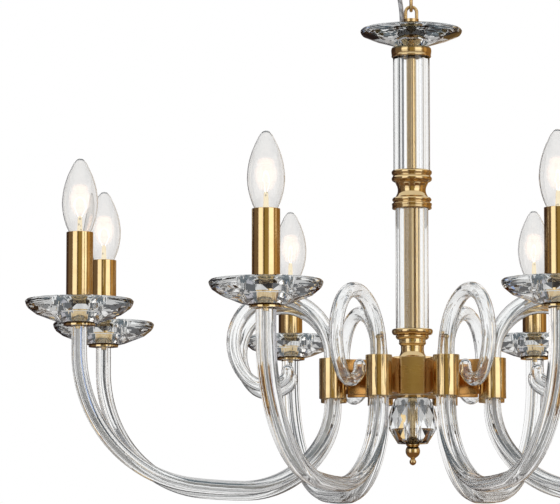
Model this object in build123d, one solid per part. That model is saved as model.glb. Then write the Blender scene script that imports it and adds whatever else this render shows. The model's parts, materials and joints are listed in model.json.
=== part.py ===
from build123d import *
import math
import os

# Eight-light glass arm chandelier. Lengths in millimetres, +Z up.
# The origin is the middle of the ceiling bracket's upper face, on the ceiling.
# Heights in this file are measured up from the tip of the lowest finial;
# hang() lowers the finished pieces under the ceiling.

# Layout
arm_count = 8
first_arm_angle = 22.5  # from +X, so that a hub flat faces -Y
candle_radius = 348.0  # column axis to candle axis
clamp_radius = 86.0  # column axis to the axis of an arm clamp
seat_gap = 0.3  # running gap between a bore and what stands in it
screw_gap = 0.2  # gap between a thread and its tapped bore

# Finial and crystal ball under the hub
finial_length = 21.5
finial_ball_radius = 7.2
finial_tip_radius = 3.1
finial_collar = 2.5
ball_length = 45.0
ball_bottom_radius = 15.0
ball_radius = 24.7  # at the belt, where the ball is widest
ball_belt_height = 14.5
ball_crown_radius = 24.0
ball_crown_height = 27.0
ball_shoulder_radius = 21.6
ball_shoulder_height = 37.5
ball_top_radius = 17.0
ball_sides = 12

# Hub
base_radius = 15.6
base_thickness = 2.5
base_chamfer = 1.0
hub_flat_radius = 33.8  # axis to the middle of a flat
hub_height = 37.3
hub_wall = 3.0
wire_hole_radius = 2.5
neck_height = 29.7
neck_ring_radius = 20.2
neck_waist_radius = 11.6
neck_foot_radius = 15.0

# Column
tube_radius = 4.5
tube_bore_radius = 3.0
sleeve_tube_radius = 8.2
lower_glass_radius = 16.5
lower_glass_length = 121.0
glass_wall = 3.2
collar_height = 39.0
collar_ring_radius = 20.0
collar_waist_radius = 14.4
upper_glass_radius = 18.6
upper_glass_length = 115.0
upper_glass_bore_radius = 11.0
flute_count = 16
flute_depth = 1.1
cap_height = 10.0
cap_radius = 20.0
socket_depth = 3.0  # how deep the glass tubes stand in the brass

# Crystal dishes, cut from a round blank. The facets' corners stand on the foot, star and
# belt rings; above the belt they run out into the blank's round rim.
dish_sides = 12
dish_floor = 3.0
dish_sink = 1.2  # how far the upper face falls towards the well
dish_height = 24.0
dish_radius = 52.5
dish_girdle_height = 21.9
dish_rim_radius = 50.6
dish_shoulder_radius = 50.2
dish_shoulder_height = 16.4
dish_belt_radius = 42.2
dish_belt_height = 9.7
dish_star_radius = 23.3
dish_star_height = 2.4
dish_foot_radius = 14.5
dish_well_foot_radius = 16.4
dish_well_radius = 19.4
top_height = 18.5
top_radius = 51.3
top_girdle_height = 16.6
top_rim_radius = 49.8
top_shoulder_radius = 49.4
top_shoulder_height = 13.0
top_belt_radius = 38.4
top_belt_height = 8.3
top_star_radius = 24.6
top_star_height = 4.0
top_foot_radius = 13.0
top_well_foot_radius = 9.2
top_well_radius = 13.6
top_well_shoulder = 16.0  # height of the shoulder that carries the loop nut

# Arms
arm_half_width = 10.2  # across the arm
arm_half_depth = 7.3  # in the plane of the arm
arm_lobes = 10
arm_lobe_rise = 0.9
arm_bore_radius = 3.0
arm_grip = 15.9  # length of glass inside the clamp
arm_hub_bend_radius, arm_hub_bend_turn = 100.0, 55.0
arm_foot_radius, arm_foot_turn = 500.0, 6.0
arm_clamp_bend_radius = 75.0
arm_riser = 25.0  # straight glass under the dish
arm_neck = 4.0  # straight glass under the clamp

# Clamps
clamp_outer_radius = 13.0
clamp_bore_radius = 10.5
clamp_height = 40.0
clamp_below_hub = 4.5  # how far the clamp reaches below the hub's lower face
web_thickness = 3.0
web_height = 19.9  # clamp's lower edge to the underside of the web
bridge_thickness = 8.0
bridge_height = 34.7
bridge_inset = 0.4  # hub's lower face to the bridge's lower edge
slot_width = 3.0
slot_height = 8.0
pin_radius = 1.4
pin_ball_radius = 2.0
pin_length = 36.0

# Scrolls
scroll_base_radius = 8.3
scroll_tip_radius = 6.1
scroll_wall = 1.9
scroll_riser = 18.0
scroll_rise_radius = 58.0
scroll_fall_radius = 46.0
scroll_back_radius, scroll_back_turn = 48.0, 45.0
scroll_foot_radius, scroll_foot_turn = 26.0, 45.0
scroll_lift_radius, scroll_lift_turn = 36.0, 35.0
scroll_hook_radius, scroll_hook_turn = 9.0, 65.0

# Candles
seat_flange_radius = 15.4
seat_flange_thickness = 1.6
cup_height = 20.2
cup_lip_radius = 12.9
cup_thread_radius = 5.0
spigot_length = 3.0
sleeve_outer_radius = 13.0
sleeve_wall = 1.0
sleeve_length = 66.0
holder_height = 56.0
holder_bore_radius = 7.3
holder_bore_depth = 24.0
holder_recess_radius = 10.6
holder_recess_depth = 8.0

# Bulbs
bulb_radius = 17.5
bulb_above_sleeve = 72.0
bulb_widest_height = 29.0  # above the sleeve's upper edge
bulb_mouth_radius = 10.6  # at the sleeve's upper edge
bulb_neck_radius = 8.0
bulb_neck_depth = 9.0  # below the sleeve's upper edge
bulb_wall = 0.8
bulb_cap_radius = 6.9
bulb_cap_length = 19.0
bulb_contact_radius = 3.0
bulb_contact_length = 4.0

# Wiring
wire_radius = 0.9
wire_way_radius = 1.2  # drilled in the clamps and the candle cups
wire_bend_radius = 6.0
cord_radius = 2.3

# Suspension
link_wire_radius = 1.7
link_gap = 0.2
link_length = 38.5
link_width = 18.0
link_count = 3
loop_width = 14.5
loop_height = 17.3  # hang loop's outer top above its boss
nut_flange_radius = 13.2
nut_flange_thickness = 4.0
nut_hub_radius = 7.0
nut_hub_height = 6.0
loop_boss_radius = 7.7
loop_boss_height = 3.0
cord_entry = (-9.2, 5.1)

# Ceiling rose
canopy_radius = 59.0
canopy_height = 28.0
canopy_flat_radius = 26.0
canopy_rim_height = 4.0
canopy_wall = 1.2
ceiling_loop_drop = 20.0  # collar to the middle of the loop's lower wire
collar_nut_radius = 11.0
collar_nut_height = 10.0
shank_radius = 4.9
bracket_length = 104.0
bracket_width = 20.0
bracket_thickness = 2.5
bracket_hole_spacing = 70.0
bracket_hole_radius = 2.6
gland_place = (-18.0, 6.0)
gland_radius = 4.6
gland_height = 4.0
gland_stem_radius = 3.6
gland_bore_radius = 2.0

# Levels, from the finial's tip upwards
ball_level = finial_length
base_level = ball_level + ball_length
hub_level = base_level + base_thickness
neck_level = hub_level + hub_height
lower_glass_level = neck_level + neck_height
collar_level = lower_glass_level + lower_glass_length
upper_glass_level = collar_level + collar_height
cap_level = upper_glass_level + upper_glass_length
top_dish_level = cap_level + cap_height
nut_level = top_dish_level + top_well_shoulder
loop_level = nut_level + nut_flange_thickness + nut_hub_height
loop_wire_level = loop_level + loop_height - link_wire_radius
hook_step = 2 * link_wire_radius + link_gap  # between two wires that hang on each other
link_rise = link_length - 2 * link_wire_radius
first_pivot = loop_wire_level - hook_step
pivot_step = link_rise - hook_step
pivots = [first_pivot + i * pivot_step for i in range(link_count + 1)]
collar_nut_level = pivots[-1] + ceiling_loop_drop
canopy_level = collar_nut_level + collar_nut_height
ceiling_level = canopy_level + canopy_height

clamp_level = hub_level - clamp_below_hub
web_level = clamp_level + web_height
scroll_level = web_level + web_thickness
arm_hub_end = clamp_level + arm_grip
wire_level = (arm_hub_end + web_level) / 2 + wire_radius


def sine(degrees):
    return math.sin(math.radians(degrees))


def cosine(degrees):
    return math.cos(math.radians(degrees))


# The bend that rises to the candle is what brings the arm up exactly under its dish.
arm_rise_turn = 90.0 - arm_foot_turn
arm_clamp_bend_turn = 90.0 - arm_hub_bend_turn
arm_rise_radius = (
    candle_radius
    - clamp_radius
    - arm_foot_radius * cosine(arm_rise_turn)
    - arm_hub_bend_radius * sine(arm_hub_bend_turn)
    - arm_clamp_bend_radius * (1 - sine(arm_hub_bend_turn))
) / (1 - cosine(arm_rise_turn))
arm_low_level = (
    clamp_level
    - arm_neck
    - arm_clamp_bend_radius * cosine(arm_hub_bend_turn)
    - arm_hub_bend_radius * (1 - cosine(arm_hub_bend_turn))
)
arm_top = (
    arm_low_level
    + arm_foot_radius * (1 - sine(arm_rise_turn))
    + arm_rise_radius * sine(arm_rise_turn)
    + arm_riser
)
dish_level = arm_top + seat_flange_thickness
sleeve_level = dish_level + dish_floor + cup_height
sleeve_top = sleeve_level + sleeve_length
holder_top = sleeve_level + holder_height
bulb_cap_bottom = sleeve_top - bulb_neck_depth - bulb_cap_length

arm_angles = [first_arm_angle + i * 360 / arm_count for i in range(arm_count)]


def hang(shape):
    """Lowers a piece from finial heights to the ceiling frame."""
    return Pos(0, 0, -ceiling_level) * shape


def around(shape, angle, radius=0.0):
    """Turns a piece from the +X side to an arm's angle."""
    return Rot(0, 0, angle) * (Pos(radius, 0, 0) * shape)


def turned(outline):
    """A solid of revolution. A third number bows that edge outwards by so much."""
    edges = []
    for (r0, z0, *_), (r1, z1, *bow) in zip([outline[-1], *outline[:-1]], outline):
        if (r0, z0) == (r1, z1):
            continue
        if bow and bow[0]:
            length = math.hypot(r1 - r0, z1 - z0)
            out_r, out_z = (z1 - z0) / length, (r0 - r1) / length
            middle = ((r0 + r1) / 2 + bow[0] * out_r, 0, (z0 + z1) / 2 + bow[0] * out_z)
            edges.append(ThreePointArc((r0, 0, z0), middle, (r1, 0, z1)))
        else:
            edges.append(Line((r0, 0, z0), (r1, 0, z1)))
    return revolve(make_face(edges), Axis.Z, 360)


def dome_bow(radius, rise):
    """The bow that makes an edge up to the axis a part of a sphere."""
    sphere = (radius**2 + rise**2) / (2 * rise)
    return sphere - math.sqrt(sphere**2 - (radius**2 + rise**2) / 4)


def bent(start, heading, moves):
    """A path in the XZ plane: a number runs straight, (radius, turn) bends."""
    x, z = start
    edges = []
    for move in moves:
        if isinstance(move, tuple):
            radius, turn = move
            side = math.copysign(90, turn)
            cx, cz = x + radius * cosine(heading + side), z + radius * sine(heading + side)
            points = [
                (cx + radius * cosine(heading - side + turn * share), 0,
                 cz + radius * sine(heading - side + turn * share))
                for share in (0, 0.5, 1)
            ]
            edges.append(ThreePointArc(*points))
            heading += turn
            x, z = points[2][0], points[2][2]
        else:
            end = (x + move * cosine(heading), z + move * sine(heading))
            edges.append(Line((x, 0, z), (end[0], 0, end[1])))
            x, z = end
    return Wire(edges)


def faceted(rings):
    """A solid with flat facets between rings of (radius, height, turn in steps, sides)."""
    corners = [
        [
            Vector(r * cosine(360 * (i + turn) / sides), r * sine(360 * (i + turn) / sides), z)
            for i in range(sides)
        ]
        for r, z, turn, sides in rings
    ]
    faces = [Face(Wire.make_polygon(ring, close=True)) for ring in (corners[0], corners[-1])]
    for (lower, upper), (low, high) in zip(zip(corners, corners[1:]), zip(rings, rings[1:])):
        sides = len(lower)
        for i in range(sides):
            a, b = lower[i], lower[(i + 1) % sides]
            c, d = upper[i], upper[(i + 1) % sides]
            if low[2] == high[2]:
                loops = [[a, b, d, c]]
            elif high[2] > low[2]:
                loops = [[a, b, c], [b, d, c]]
            else:
                loops = [[a, b, d], [a, d, c]]
            faces += [Face(Wire.make_polygon(loop, close=True)) for loop in loops]
    return Solid(Shell(faces))


def bored(shape, radius, low, high, x=0.0, y=0.0):
    tool = Pos(x, y, (low + high) / 2) * Cylinder(radius, high - low)
    return shape - tool


def lobed_face(half_depth, half_width, lobes, rise):
    """An oval in the XY plane whose rim is a row of lobes with their crests on the oval."""

    def rim(step, share):
        angle = 360 * step / lobes
        return share * half_depth * cosine(angle), share * half_width * sine(angle)

    valley = 1 - rise / half_depth
    return make_face([
        ThreePointArc(rim(i, valley), rim(i + 0.5, 1), rim(i + 1, valley)) for i in range(lobes)
    ])


# Candle branch

arm_moves = [
    arm_riser,
    (arm_rise_radius, -arm_rise_turn),
    (arm_foot_radius, -arm_foot_turn),
    (arm_hub_bend_radius, -arm_hub_bend_turn),
    (arm_clamp_bend_radius, -arm_clamp_bend_turn),
    arm_neck + arm_grip,
]


def make_arm():
    path = bent((candle_radius, arm_top), -90, arm_moves)
    rim = lobed_face(arm_half_depth, arm_half_width, arm_lobes, arm_lobe_rise)
    place = Pos(candle_radius, 0, arm_top)
    body = sweep(place * rim, path)
    bore = sweep(place * Circle(arm_bore_radius), path)
    return body - bore


def make_scroll():
    start = (clamp_radius, scroll_level)
    path = bent(start, 90, [
        scroll_riser,
        (scroll_rise_radius, -90),
        (scroll_fall_radius, -90),
        (scroll_back_radius, -scroll_back_turn),
        (scroll_foot_radius, -scroll_foot_turn),
        (scroll_lift_radius, -scroll_lift_turn),
        (scroll_hook_radius, -scroll_hook_turn),
    ])
    end, way = path @ 1, path % 1
    tip = Plane(end, x_dir=(0, 1, 0), z_dir=way)

    def tapered(base_radius, tip_radius):
        sections = [Pos(start[0], 0, start[1]) * Circle(base_radius), tip * Circle(tip_radius)]
        return sweep(sections, path, multisection=True)

    tube = tapered(scroll_base_radius, scroll_tip_radius)
    tube -= tapered(scroll_base_radius - scroll_wall, scroll_tip_radius - scroll_wall)
    return tube + Pos(end) * Sphere(scroll_tip_radius)


def make_dish(cut, blank, well, rim_radius, height, hole_radius):
    """A round blank with facets ground on its underside, sunk face and well above."""
    facets = faceted([(radius, level, turn, dish_sides) for radius, level, turn in cut])
    body = facets & turned([(0, -1), (cut[1][0], -1), *blank, (rim_radius, height, 0.2), (0, height)])
    well_radius = well[-1][0]
    above = height + dish_sink
    body -= turned([(0, dish_floor), *well, (well_radius, above), (0, above)])
    body -= turned([(0, height - dish_sink), (well_radius, height - dish_sink),
                    (rim_radius - 4, height), (0, height)])
    return bored(body, hole_radius, -1, dish_floor + 1)


def make_candle_dish():
    spread = 1 / cosine(180 / dish_sides)  # a facet's corner lies beyond its middle
    return make_dish(
        [
            (dish_foot_radius, 0, 0),
            (dish_star_radius, dish_star_height, 0.5),
            (dish_belt_radius, dish_belt_height, 0),
            (dish_radius * spread + 1, (dish_shoulder_height + dish_girdle_height) / 2, 0.5),
            (dish_radius * spread + 1, dish_height + 1, 0.5),
        ],
        [
            (dish_belt_radius + 1.2, dish_belt_height - 0.5),
            (dish_shoulder_radius, dish_shoulder_height, 0.5),
            (dish_radius, dish_girdle_height, 0.4),
        ],
        [(dish_well_foot_radius, dish_floor), (dish_well_radius, dish_height)],
        dish_rim_radius, dish_height, cup_thread_radius + screw_gap,
    )


def make_top_dish():
    spread = 1 / cosine(180 / dish_sides)
    return make_dish(
        [
            (top_foot_radius, 0, 0),
            (top_star_radius, top_star_height, 0.5),
            (top_belt_radius, top_belt_height, 0),
            (top_radius * spread + 1, (top_shoulder_height + top_girdle_height) / 2, 0.5),
            (top_radius * spread + 1, top_height + 1, 0.5),
        ],
        [
            (top_belt_radius + 1.2, top_belt_height - 0.5),
            (top_shoulder_radius, top_shoulder_height, 0.5),
            (top_radius, top_girdle_height, 0.3),
        ],
        [(top_well_foot_radius, dish_floor), (top_well_radius, top_well_shoulder)],
        top_rim_radius, top_height, tube_radius + screw_gap,
    )


def make_seat():
    """Brass flange under a dish, with a spigot that stands in the arm's bore."""
    body = turned([
        (0, arm_top - spigot_length),
        (arm_bore_radius - screw_gap, arm_top - spigot_length),
        (arm_bore_radius - screw_gap, arm_top),
        (seat_flange_radius, arm_top),
        (seat_flange_radius, dish_level),
        (cup_thread_radius, dish_level),
        (cup_thread_radius, dish_level + dish_floor),
        (0, dish_level + dish_floor),
    ])
    return bored(body, wire_way_radius, arm_top - spigot_length - 1, dish_level + dish_floor + 1)


def make_cup():
    """Turned cup in the dish's well that carries the candle sleeve."""
    foot = dish_level + dish_floor
    rise = cup_height / 10
    body = turned([
        (0, foot),
        (8.2, foot),
        (8.2, foot + rise),
        (6.2, foot + 2 * rise, -0.6),
        (6.2, foot + 3.4 * rise),
        (8.6, foot + 4.4 * rise, 0.5),
        (8.6, foot + 5.4 * rise, 0.6),
        (9.8, foot + 6.6 * rise, -0.4),
        (10.8, foot + 7.8 * rise, 0.5),
        (cup_lip_radius, foot + 9.2 * rise, 0.4),
        (cup_lip_radius, sleeve_level),
        (0, sleeve_level),
    ])
    return bored(body, wire_way_radius, foot - 1, sleeve_level + 1)


def make_sleeve():
    return turned([
        (sleeve_outer_radius - sleeve_wall, sleeve_level),
        (sleeve_outer_radius, sleeve_level),
        (sleeve_outer_radius, sleeve_top),
        (sleeve_outer_radius - sleeve_wall, sleeve_top),
    ])


def make_holder():
    radius = sleeve_outer_radius - sleeve_wall - seat_gap
    body = turned([
        (wire_way_radius, sleeve_level),
        (radius, sleeve_level),
        (radius, holder_top),
        (holder_recess_radius, holder_top),
        (holder_bore_radius, holder_top - holder_recess_depth),
        (holder_bore_radius, holder_top - holder_recess_depth - holder_bore_depth),
        (wire_way_radius, holder_top - holder_recess_depth - holder_bore_depth),
    ])
    return body


def bulb_outline(inset):
    """Half outline of the envelope from its neck to its tip, inset by the wall."""
    neck = sleeve_top - bulb_neck_depth
    tip = bulb_above_sleeve
    dome_radius = bulb_radius * 0.24 - inset / 2
    dome_rise = tip * 0.03 - inset / 2
    return [
        (0, neck - inset),
        (bulb_neck_radius - inset, neck - inset),
        (bulb_neck_radius - inset, neck + 2),
        (bulb_mouth_radius - inset, sleeve_top),
        (bulb_radius - inset, sleeve_top + bulb_widest_height, 1.7),
        (bulb_radius * 0.47 - inset, sleeve_top + tip * 0.88, 2.1),
        (dome_radius, sleeve_top + tip - inset - dome_rise, 0.4),
        (0, sleeve_top + tip - inset, dome_bow(dome_radius, dome_rise)),
    ]


def make_bulb():
    """Clear envelope and its screw cap, as two solids."""
    glass = turned(bulb_outline(0)) - turned(bulb_outline(bulb_wall))
    top = sleeve_top - bulb_neck_depth
    cap = turned([
        (0, bulb_cap_bottom - bulb_contact_length),
        (bulb_contact_radius, bulb_cap_bottom - bulb_contact_length),
        (bulb_cap_radius, bulb_cap_bottom),
        (bulb_cap_radius, top),
        (0, top),
    ])
    return Compound([glass.solid(), cap.solid()])


def make_clamp():
    tube = turned([
        (clamp_bore_radius, 0),
        (clamp_outer_radius, 0),
        (clamp_outer_radius, clamp_height),
        (clamp_bore_radius, clamp_height),
    ])
    web = Pos(0, 0, web_height + web_thickness / 2) * Cylinder(clamp_bore_radius, web_thickness)
    web = bored(web, pin_radius + screw_gap, web_height - 1, web_height + web_thickness + 1)
    clamp = Pos(clamp_radius, 0, clamp_level) * (tube + web)
    inner = hub_flat_radius - 2
    length = clamp_radius - clamp_bore_radius - inner
    bridge_level = hub_level + bridge_inset
    bridge = Pos(inner + length / 2, 0, bridge_level + bridge_height / 2) * Box(
        length, bridge_thickness, bridge_height
    )
    bridge -= Pos(clamp_radius, 0, clamp_level + clamp_height / 2) * Cylinder(
        (clamp_bore_radius + clamp_outer_radius) / 2, clamp_height * 2
    )
    bridge -= hub_prism(hub_flat_radius, hub_level - 1, hub_height + 2, -first_arm_angle)
    slot_x = clamp_radius - clamp_outer_radius - slot_width / 2
    slot = Pos(slot_x, 0, bridge_level + slot_height / 2 - slot_width / 4) * Box(
        slot_width, bridge_thickness * 2, slot_height - slot_width / 2
    )
    slot += Pos(slot_x, 0, bridge_level + slot_height - slot_width / 2) * Rot(90, 0, 0) * Cylinder(
        slot_width / 2, bridge_thickness * 2
    )
    wire_way = Pos((inner + clamp_radius) / 2, 0, wire_level) * Rot(0, 90, 0) * Cylinder(
        wire_way_radius, clamp_radius - inner
    )
    return clamp + (bridge - slot) - wire_way


def make_pin():
    """Locating pin with a ball end, screwed into the web."""
    length = pin_length - pin_ball_radius
    shank = Pos(0, 0, web_level + length / 2) * Cylinder(pin_radius, length)
    ball = Pos(0, 0, web_level + length) * Sphere(pin_ball_radius)
    return Pos(clamp_radius, 0, 0) * (shank + ball)


def make_wire():
    start = (hub_flat_radius - hub_wall - 8, wire_level)
    run = clamp_radius - wire_bend_radius - start[0]
    down = wire_level - wire_bend_radius - (arm_hub_end - arm_neck - arm_grip)
    back = [
        move if not isinstance(move, tuple) else (move[0], -move[1])
        for move in reversed(arm_moves[1:-1])
    ]
    moves = [run, (wire_bend_radius, -90), down, *back, sleeve_level - arm_top + arm_riser - 0.5]
    path = bent(start, 0, moves)
    section = Plane((start[0], 0, start[1]), x_dir=(0, 1, 0), z_dir=(1, 0, 0))
    return sweep(section * Circle(wire_radius), path)


# Column


def hub_prism(flat_radius, level, height, turn):
    corner = flat_radius / cosine(180 / arm_count)
    prism = extrude(RegularPolygon(corner, arm_count), height)
    return Rot(0, 0, first_arm_angle + turn) * (Pos(0, 0, level) * prism)


def make_hub_body():
    body = hub_prism(hub_flat_radius, hub_level, hub_height, 0)
    body -= hub_prism(
        hub_flat_radius - hub_wall, hub_level + hub_wall, hub_height - 2 * hub_wall, 0
    )
    body = bored(body, tube_radius + screw_gap, hub_level - 1, neck_level + 1)
    for angle in arm_angles:
        way = Pos(hub_flat_radius, 0, wire_level) * Rot(0, 90, 0) * Cylinder(
            wire_hole_radius, 6 * hub_wall
        )
        body -= Rot(0, 0, angle) * way
    return body


def make_hub_base():
    top = hub_level
    return turned([
        (tube_radius + screw_gap, base_level),
        (base_radius - base_chamfer, base_level),
        (base_radius, base_level + base_chamfer),
        (base_radius, top),
        (tube_radius + screw_gap, top),
    ])


def make_ball():
    body = faceted([
        (ball_bottom_radius, ball_level, 0, ball_sides),
        (ball_radius, ball_level + ball_belt_height, 0.5, ball_sides),
        (ball_crown_radius, ball_level + ball_crown_height, 0, ball_sides),
        (ball_shoulder_radius, ball_level + ball_shoulder_height, 0.5, ball_sides),
        (ball_top_radius, base_level, 0, ball_sides),
    ])
    return bored(body, tube_radius + screw_gap, ball_level - 1, base_level + 1)


def make_finial():
    bead_top = finial_tip_radius * 1.9
    ball_low, ball_top = finial_tip_radius * 2.45, finial_length - finial_collar
    low_radius, top_radius = finial_ball_radius * 0.42, finial_ball_radius * 0.76
    body = turned([
        (0, 0),
        (finial_tip_radius * 0.8, bead_top, finial_tip_radius * 0.65),
        (finial_tip_radius * 0.65, finial_tip_radius * 2.15),
        (low_radius, ball_low),
        (top_radius, ball_top, finial_ball_radius - (low_radius + top_radius) / 2),
        (6.3, ball_top + 0.5),
        (6.3, finial_length, 0.4),
        (0, finial_length),
    ])
    return bored(body, tube_radius + screw_gap, (ball_low + ball_top) / 2, finial_length + 1)


def make_centre_tube():
    low = finial_length - finial_ball_radius
    return turned([
        (tube_bore_radius, low),
        (tube_radius, low),
        (tube_radius, loop_level - 1),
        (tube_bore_radius, loop_level - 1),
    ])


def make_neck():
    bore = tube_radius + screw_gap
    top = lower_glass_level
    socket = lower_glass_radius + seat_gap
    return turned([
        (bore, neck_level),
        (neck_foot_radius, neck_level),
        (neck_foot_radius - 0.4, neck_level + 1.6, 0.5),
        (neck_waist_radius, top - 18.5, -1.2),
        (neck_waist_radius + 0.9, top - 15.5, -0.4),
        (13.4, top - 13.4, 0.6),
        (13.4, top - 10.2),
        (16.0, top - 9.2, 0.4),
        (16.0, top - 6.0, 0.7),
        (18.2, top - 5.4),
        (neck_ring_radius, top - 4.0, 0.5),
        (neck_ring_radius, top - 0.6, 0.4),
        (neck_ring_radius - 0.8, top),
        (socket, top),
        (socket, top - socket_depth),
        (bore, top - socket_depth),
    ])


def make_glass_tube(radius, level, length, bore):
    """Plain glass tube whose ends stand in the brass above and below."""
    return turned([
        (bore, level - socket_depth),
        (radius, level - socket_depth),
        (radius, level + length + socket_depth),
        (bore, level + length + socket_depth),
    ])


def make_upper_glass():
    outline = lobed_face(upper_glass_radius, upper_glass_radius, flute_count, flute_depth)
    length = upper_glass_length + 2 * socket_depth
    body = Pos(0, 0, upper_glass_level - socket_depth) * extrude(outline, length)
    return bored(body, upper_glass_bore_radius, upper_glass_level - socket_depth - 1,
                 cap_level + socket_depth + 1)


def make_mid_collar():
    bore = tube_radius + screw_gap
    low, top = collar_level, upper_glass_level
    lower_socket, upper_socket = lower_glass_radius + seat_gap, upper_glass_radius + seat_gap
    ring = collar_ring_radius
    return turned([
        (bore, low + socket_depth),
        (lower_socket, low + socket_depth),
        (lower_socket, low),
        (ring - 0.8, low),
        (ring, low + 1.2, 0.3),
        (ring, low + 3.6, 0.3),
        (18.2, low + 4.6),
        (18.2, low + 5.6),
        (19.5, low + 8.0, 0.5),
        (18.6, low + 11.6, 0.7),
        (15.6, low + 13.0),
        (collar_waist_radius, low + 19.0, -1.2),
        (15.8, low + 25.2, -1.2),
        (17.6, low + 26.6),
        (19.7, low + 29.0, 0.5),
        (18.6, low + 32.0, 0.6),
        (18.6, low + 33.0),
        (ring, low + 34.4, 0.4),
        (ring, top - 1.0, 0.4),
        (ring - 0.8, top),
        (upper_socket, top),
        (upper_socket, top - socket_depth),
        (bore, top - socket_depth),
    ])


def make_cap():
    bore = tube_radius + screw_gap
    socket = upper_glass_radius + seat_gap
    top = top_dish_level
    return turned([
        (socket, cap_level),
        (cap_radius - 0.6, cap_level),
        (cap_radius, cap_level + 1.2, 0.2),
        (cap_radius - 0.4, cap_level + 3.0),
        (cap_radius, cap_level + 4.4, 0.3),
        (cap_radius, top - 1.6, 0.3),
        (cap_radius - 1.8, top, 0.5),
        (bore, top),
        (bore, cap_level + socket_depth),
        (socket, cap_level + socket_depth),
    ])


def make_stem_sleeve():
    return turned([
        (tube_radius + screw_gap, lower_glass_level - socket_depth),
        (sleeve_tube_radius, lower_glass_level - socket_depth),
        (sleeve_tube_radius, collar_level + socket_depth),
        (tube_radius + screw_gap, collar_level + socket_depth),
    ])


# Suspension


def make_nut():
    level = nut_level
    body = turned([
        (tube_radius + screw_gap, level),
        (nut_flange_radius, level),
        (nut_flange_radius, level + nut_flange_thickness),
        (nut_hub_radius, level + nut_flange_thickness),
        (nut_hub_radius, loop_level),
        (tube_radius + screw_gap, loop_level),
    ])
    return bored(body, gland_bore_radius, level - 1, level + nut_flange_thickness + 1, *cord_entry)


def wire_loop(path, start, way):
    section = Plane(start, x_dir=(0, 1, 0) if way[1] == 0 else (1, 0, 0), z_dir=way)
    return sweep(section * Circle(link_wire_radius), path)


def make_hang_loop():
    radius = (loop_width - 2 * link_wire_radius) / 2
    leg = loop_wire_level - radius - loop_level
    path = bent((-radius, loop_level), 90, [leg, (radius, -180), leg])
    loop = wire_loop(path, (-radius, 0, loop_level), (0, 0, 1))
    boss = Pos(0, 0, loop_level + loop_boss_height / 2) * Cylinder(
        loop_boss_radius, loop_boss_height
    )
    return loop + boss


def make_link(index):
    """An oval link; every other one is turned a quarter."""
    radius = (link_width - 2 * link_wire_radius) / 2
    straight = link_rise - 2 * radius
    low = pivots[index]
    path = bent((radius, low + radius), 90,
                [straight, (radius, 180), straight, (radius, 180)])
    link = wire_loop(path, (radius, 0, low + radius), (0, 0, 1))
    return Rot(0, 0, 90 if index % 2 == 0 else 0) * link


def make_ceiling_loop():
    radius = (loop_width - 2 * link_wire_radius) / 2
    leg = ceiling_loop_drop - radius
    path = bent((-radius, collar_nut_level), -90, [leg, (radius, 180), leg])
    loop = wire_loop(path, (-radius, 0, collar_nut_level), (0, 0, -1))
    top = ceiling_level - bracket_thickness + 1.5
    body = turned([
        (0, collar_nut_level - 2),
        (8.0, collar_nut_level - 2),
        (9.2, collar_nut_level, 0.3),
        (collar_nut_radius, collar_nut_level + 3, 0.5),
        (collar_nut_radius, canopy_level - 1),
        (collar_nut_radius - 1, canopy_level),
        (shank_radius, canopy_level),
        (shank_radius, top),
        (0, top),
    ])
    return loop + body


def make_canopy():
    low = canopy_level
    shoulder = ceiling_level - canopy_rim_height
    wall = canopy_wall
    body = turned([
        (shank_radius + screw_gap, low),
        (canopy_flat_radius, low),
        (canopy_radius - 2, shoulder - 2, 5.5),
        (canopy_radius - 2, shoulder),
        (canopy_radius, shoulder),
        (canopy_radius, ceiling_level),
        (canopy_radius - 2 - wall, ceiling_level),
        (canopy_radius - 2 - wall, shoulder - 2),
        (canopy_flat_radius, low + wall, -5.5),
        (shank_radius + screw_gap, low + wall),
    ])
    return bored(body, gland_stem_radius + screw_gap, low - 1, low + wall + 1, *gland_place)


def make_bracket():
    level = ceiling_level - bracket_thickness / 2
    body = Pos(0, 0, level) * Box(bracket_length, bracket_width, bracket_thickness)
    low, high = level - bracket_thickness, level + bracket_thickness
    for x in (-bracket_hole_spacing / 2, bracket_hole_spacing / 2):
        body = bored(body, bracket_hole_radius, low, high, x)
    return bored(body, shank_radius + screw_gap, low, high)


def make_gland():
    body = turned([
        (gland_bore_radius, canopy_level - gland_height),
        (gland_radius - 1, canopy_level - gland_height),
        (gland_radius, canopy_level - 1),
        (gland_radius, canopy_level),
        (gland_stem_radius, canopy_level),
        (gland_stem_radius, canopy_level + canopy_wall + 4),
        (gland_bore_radius, canopy_level + canopy_wall + 4),
    ])
    return Pos(*gland_place, 0) * body


# Supply cord, from the gland down beside the chain to the nut on the column.
cord_top = canopy_level - gland_height
cord_end = nut_level + nut_flange_thickness
cord_route = [
    (*gland_place, cord_top),
    (*gland_place, cord_top - 15.0),
    (-15.6, 6.9, cord_top - 33.0),
    (-15.9, 7.6, cord_top - 52.0),
    (-14.0, 7.1, cord_top - 70.0),
    (-14.2, 7.9, cord_top - 88.0),
    (-11.8, 7.0, cord_top - 105.0),
    (*cord_entry, cord_end + 15.0),
    (*cord_entry, cord_end),
]


def make_cord():
    points = [Vector(*point) for point in cord_route]
    radii = []
    for before, here, after in zip(points, points[1:], points[2:]):
        turn = (here - before).get_angle(after - here)
        shorter = min((here - before).length, (after - here).length)
        radii.append(0.45 * shorter / math.tan(math.radians(turn / 2)))
    path = FilletPolyline(*points, radius=radii)
    section = Plane(points[0], z_dir=(points[1] - points[0]).normalized())
    return sweep(section * Circle(cord_radius), path)


def write(name, shape):
    export_step(hang(shape), f"parts/{name}.step")


def write_each(name, shape):
    for number, angle in enumerate(arm_angles, 1):
        write(f"{name}_{number}", around(shape, angle))


def write_group(name, shapes):
    solids = [
        around(shape, angle).solid() for angle in arm_angles for shape in shapes
    ]
    write(name, Compound(solids))


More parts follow.
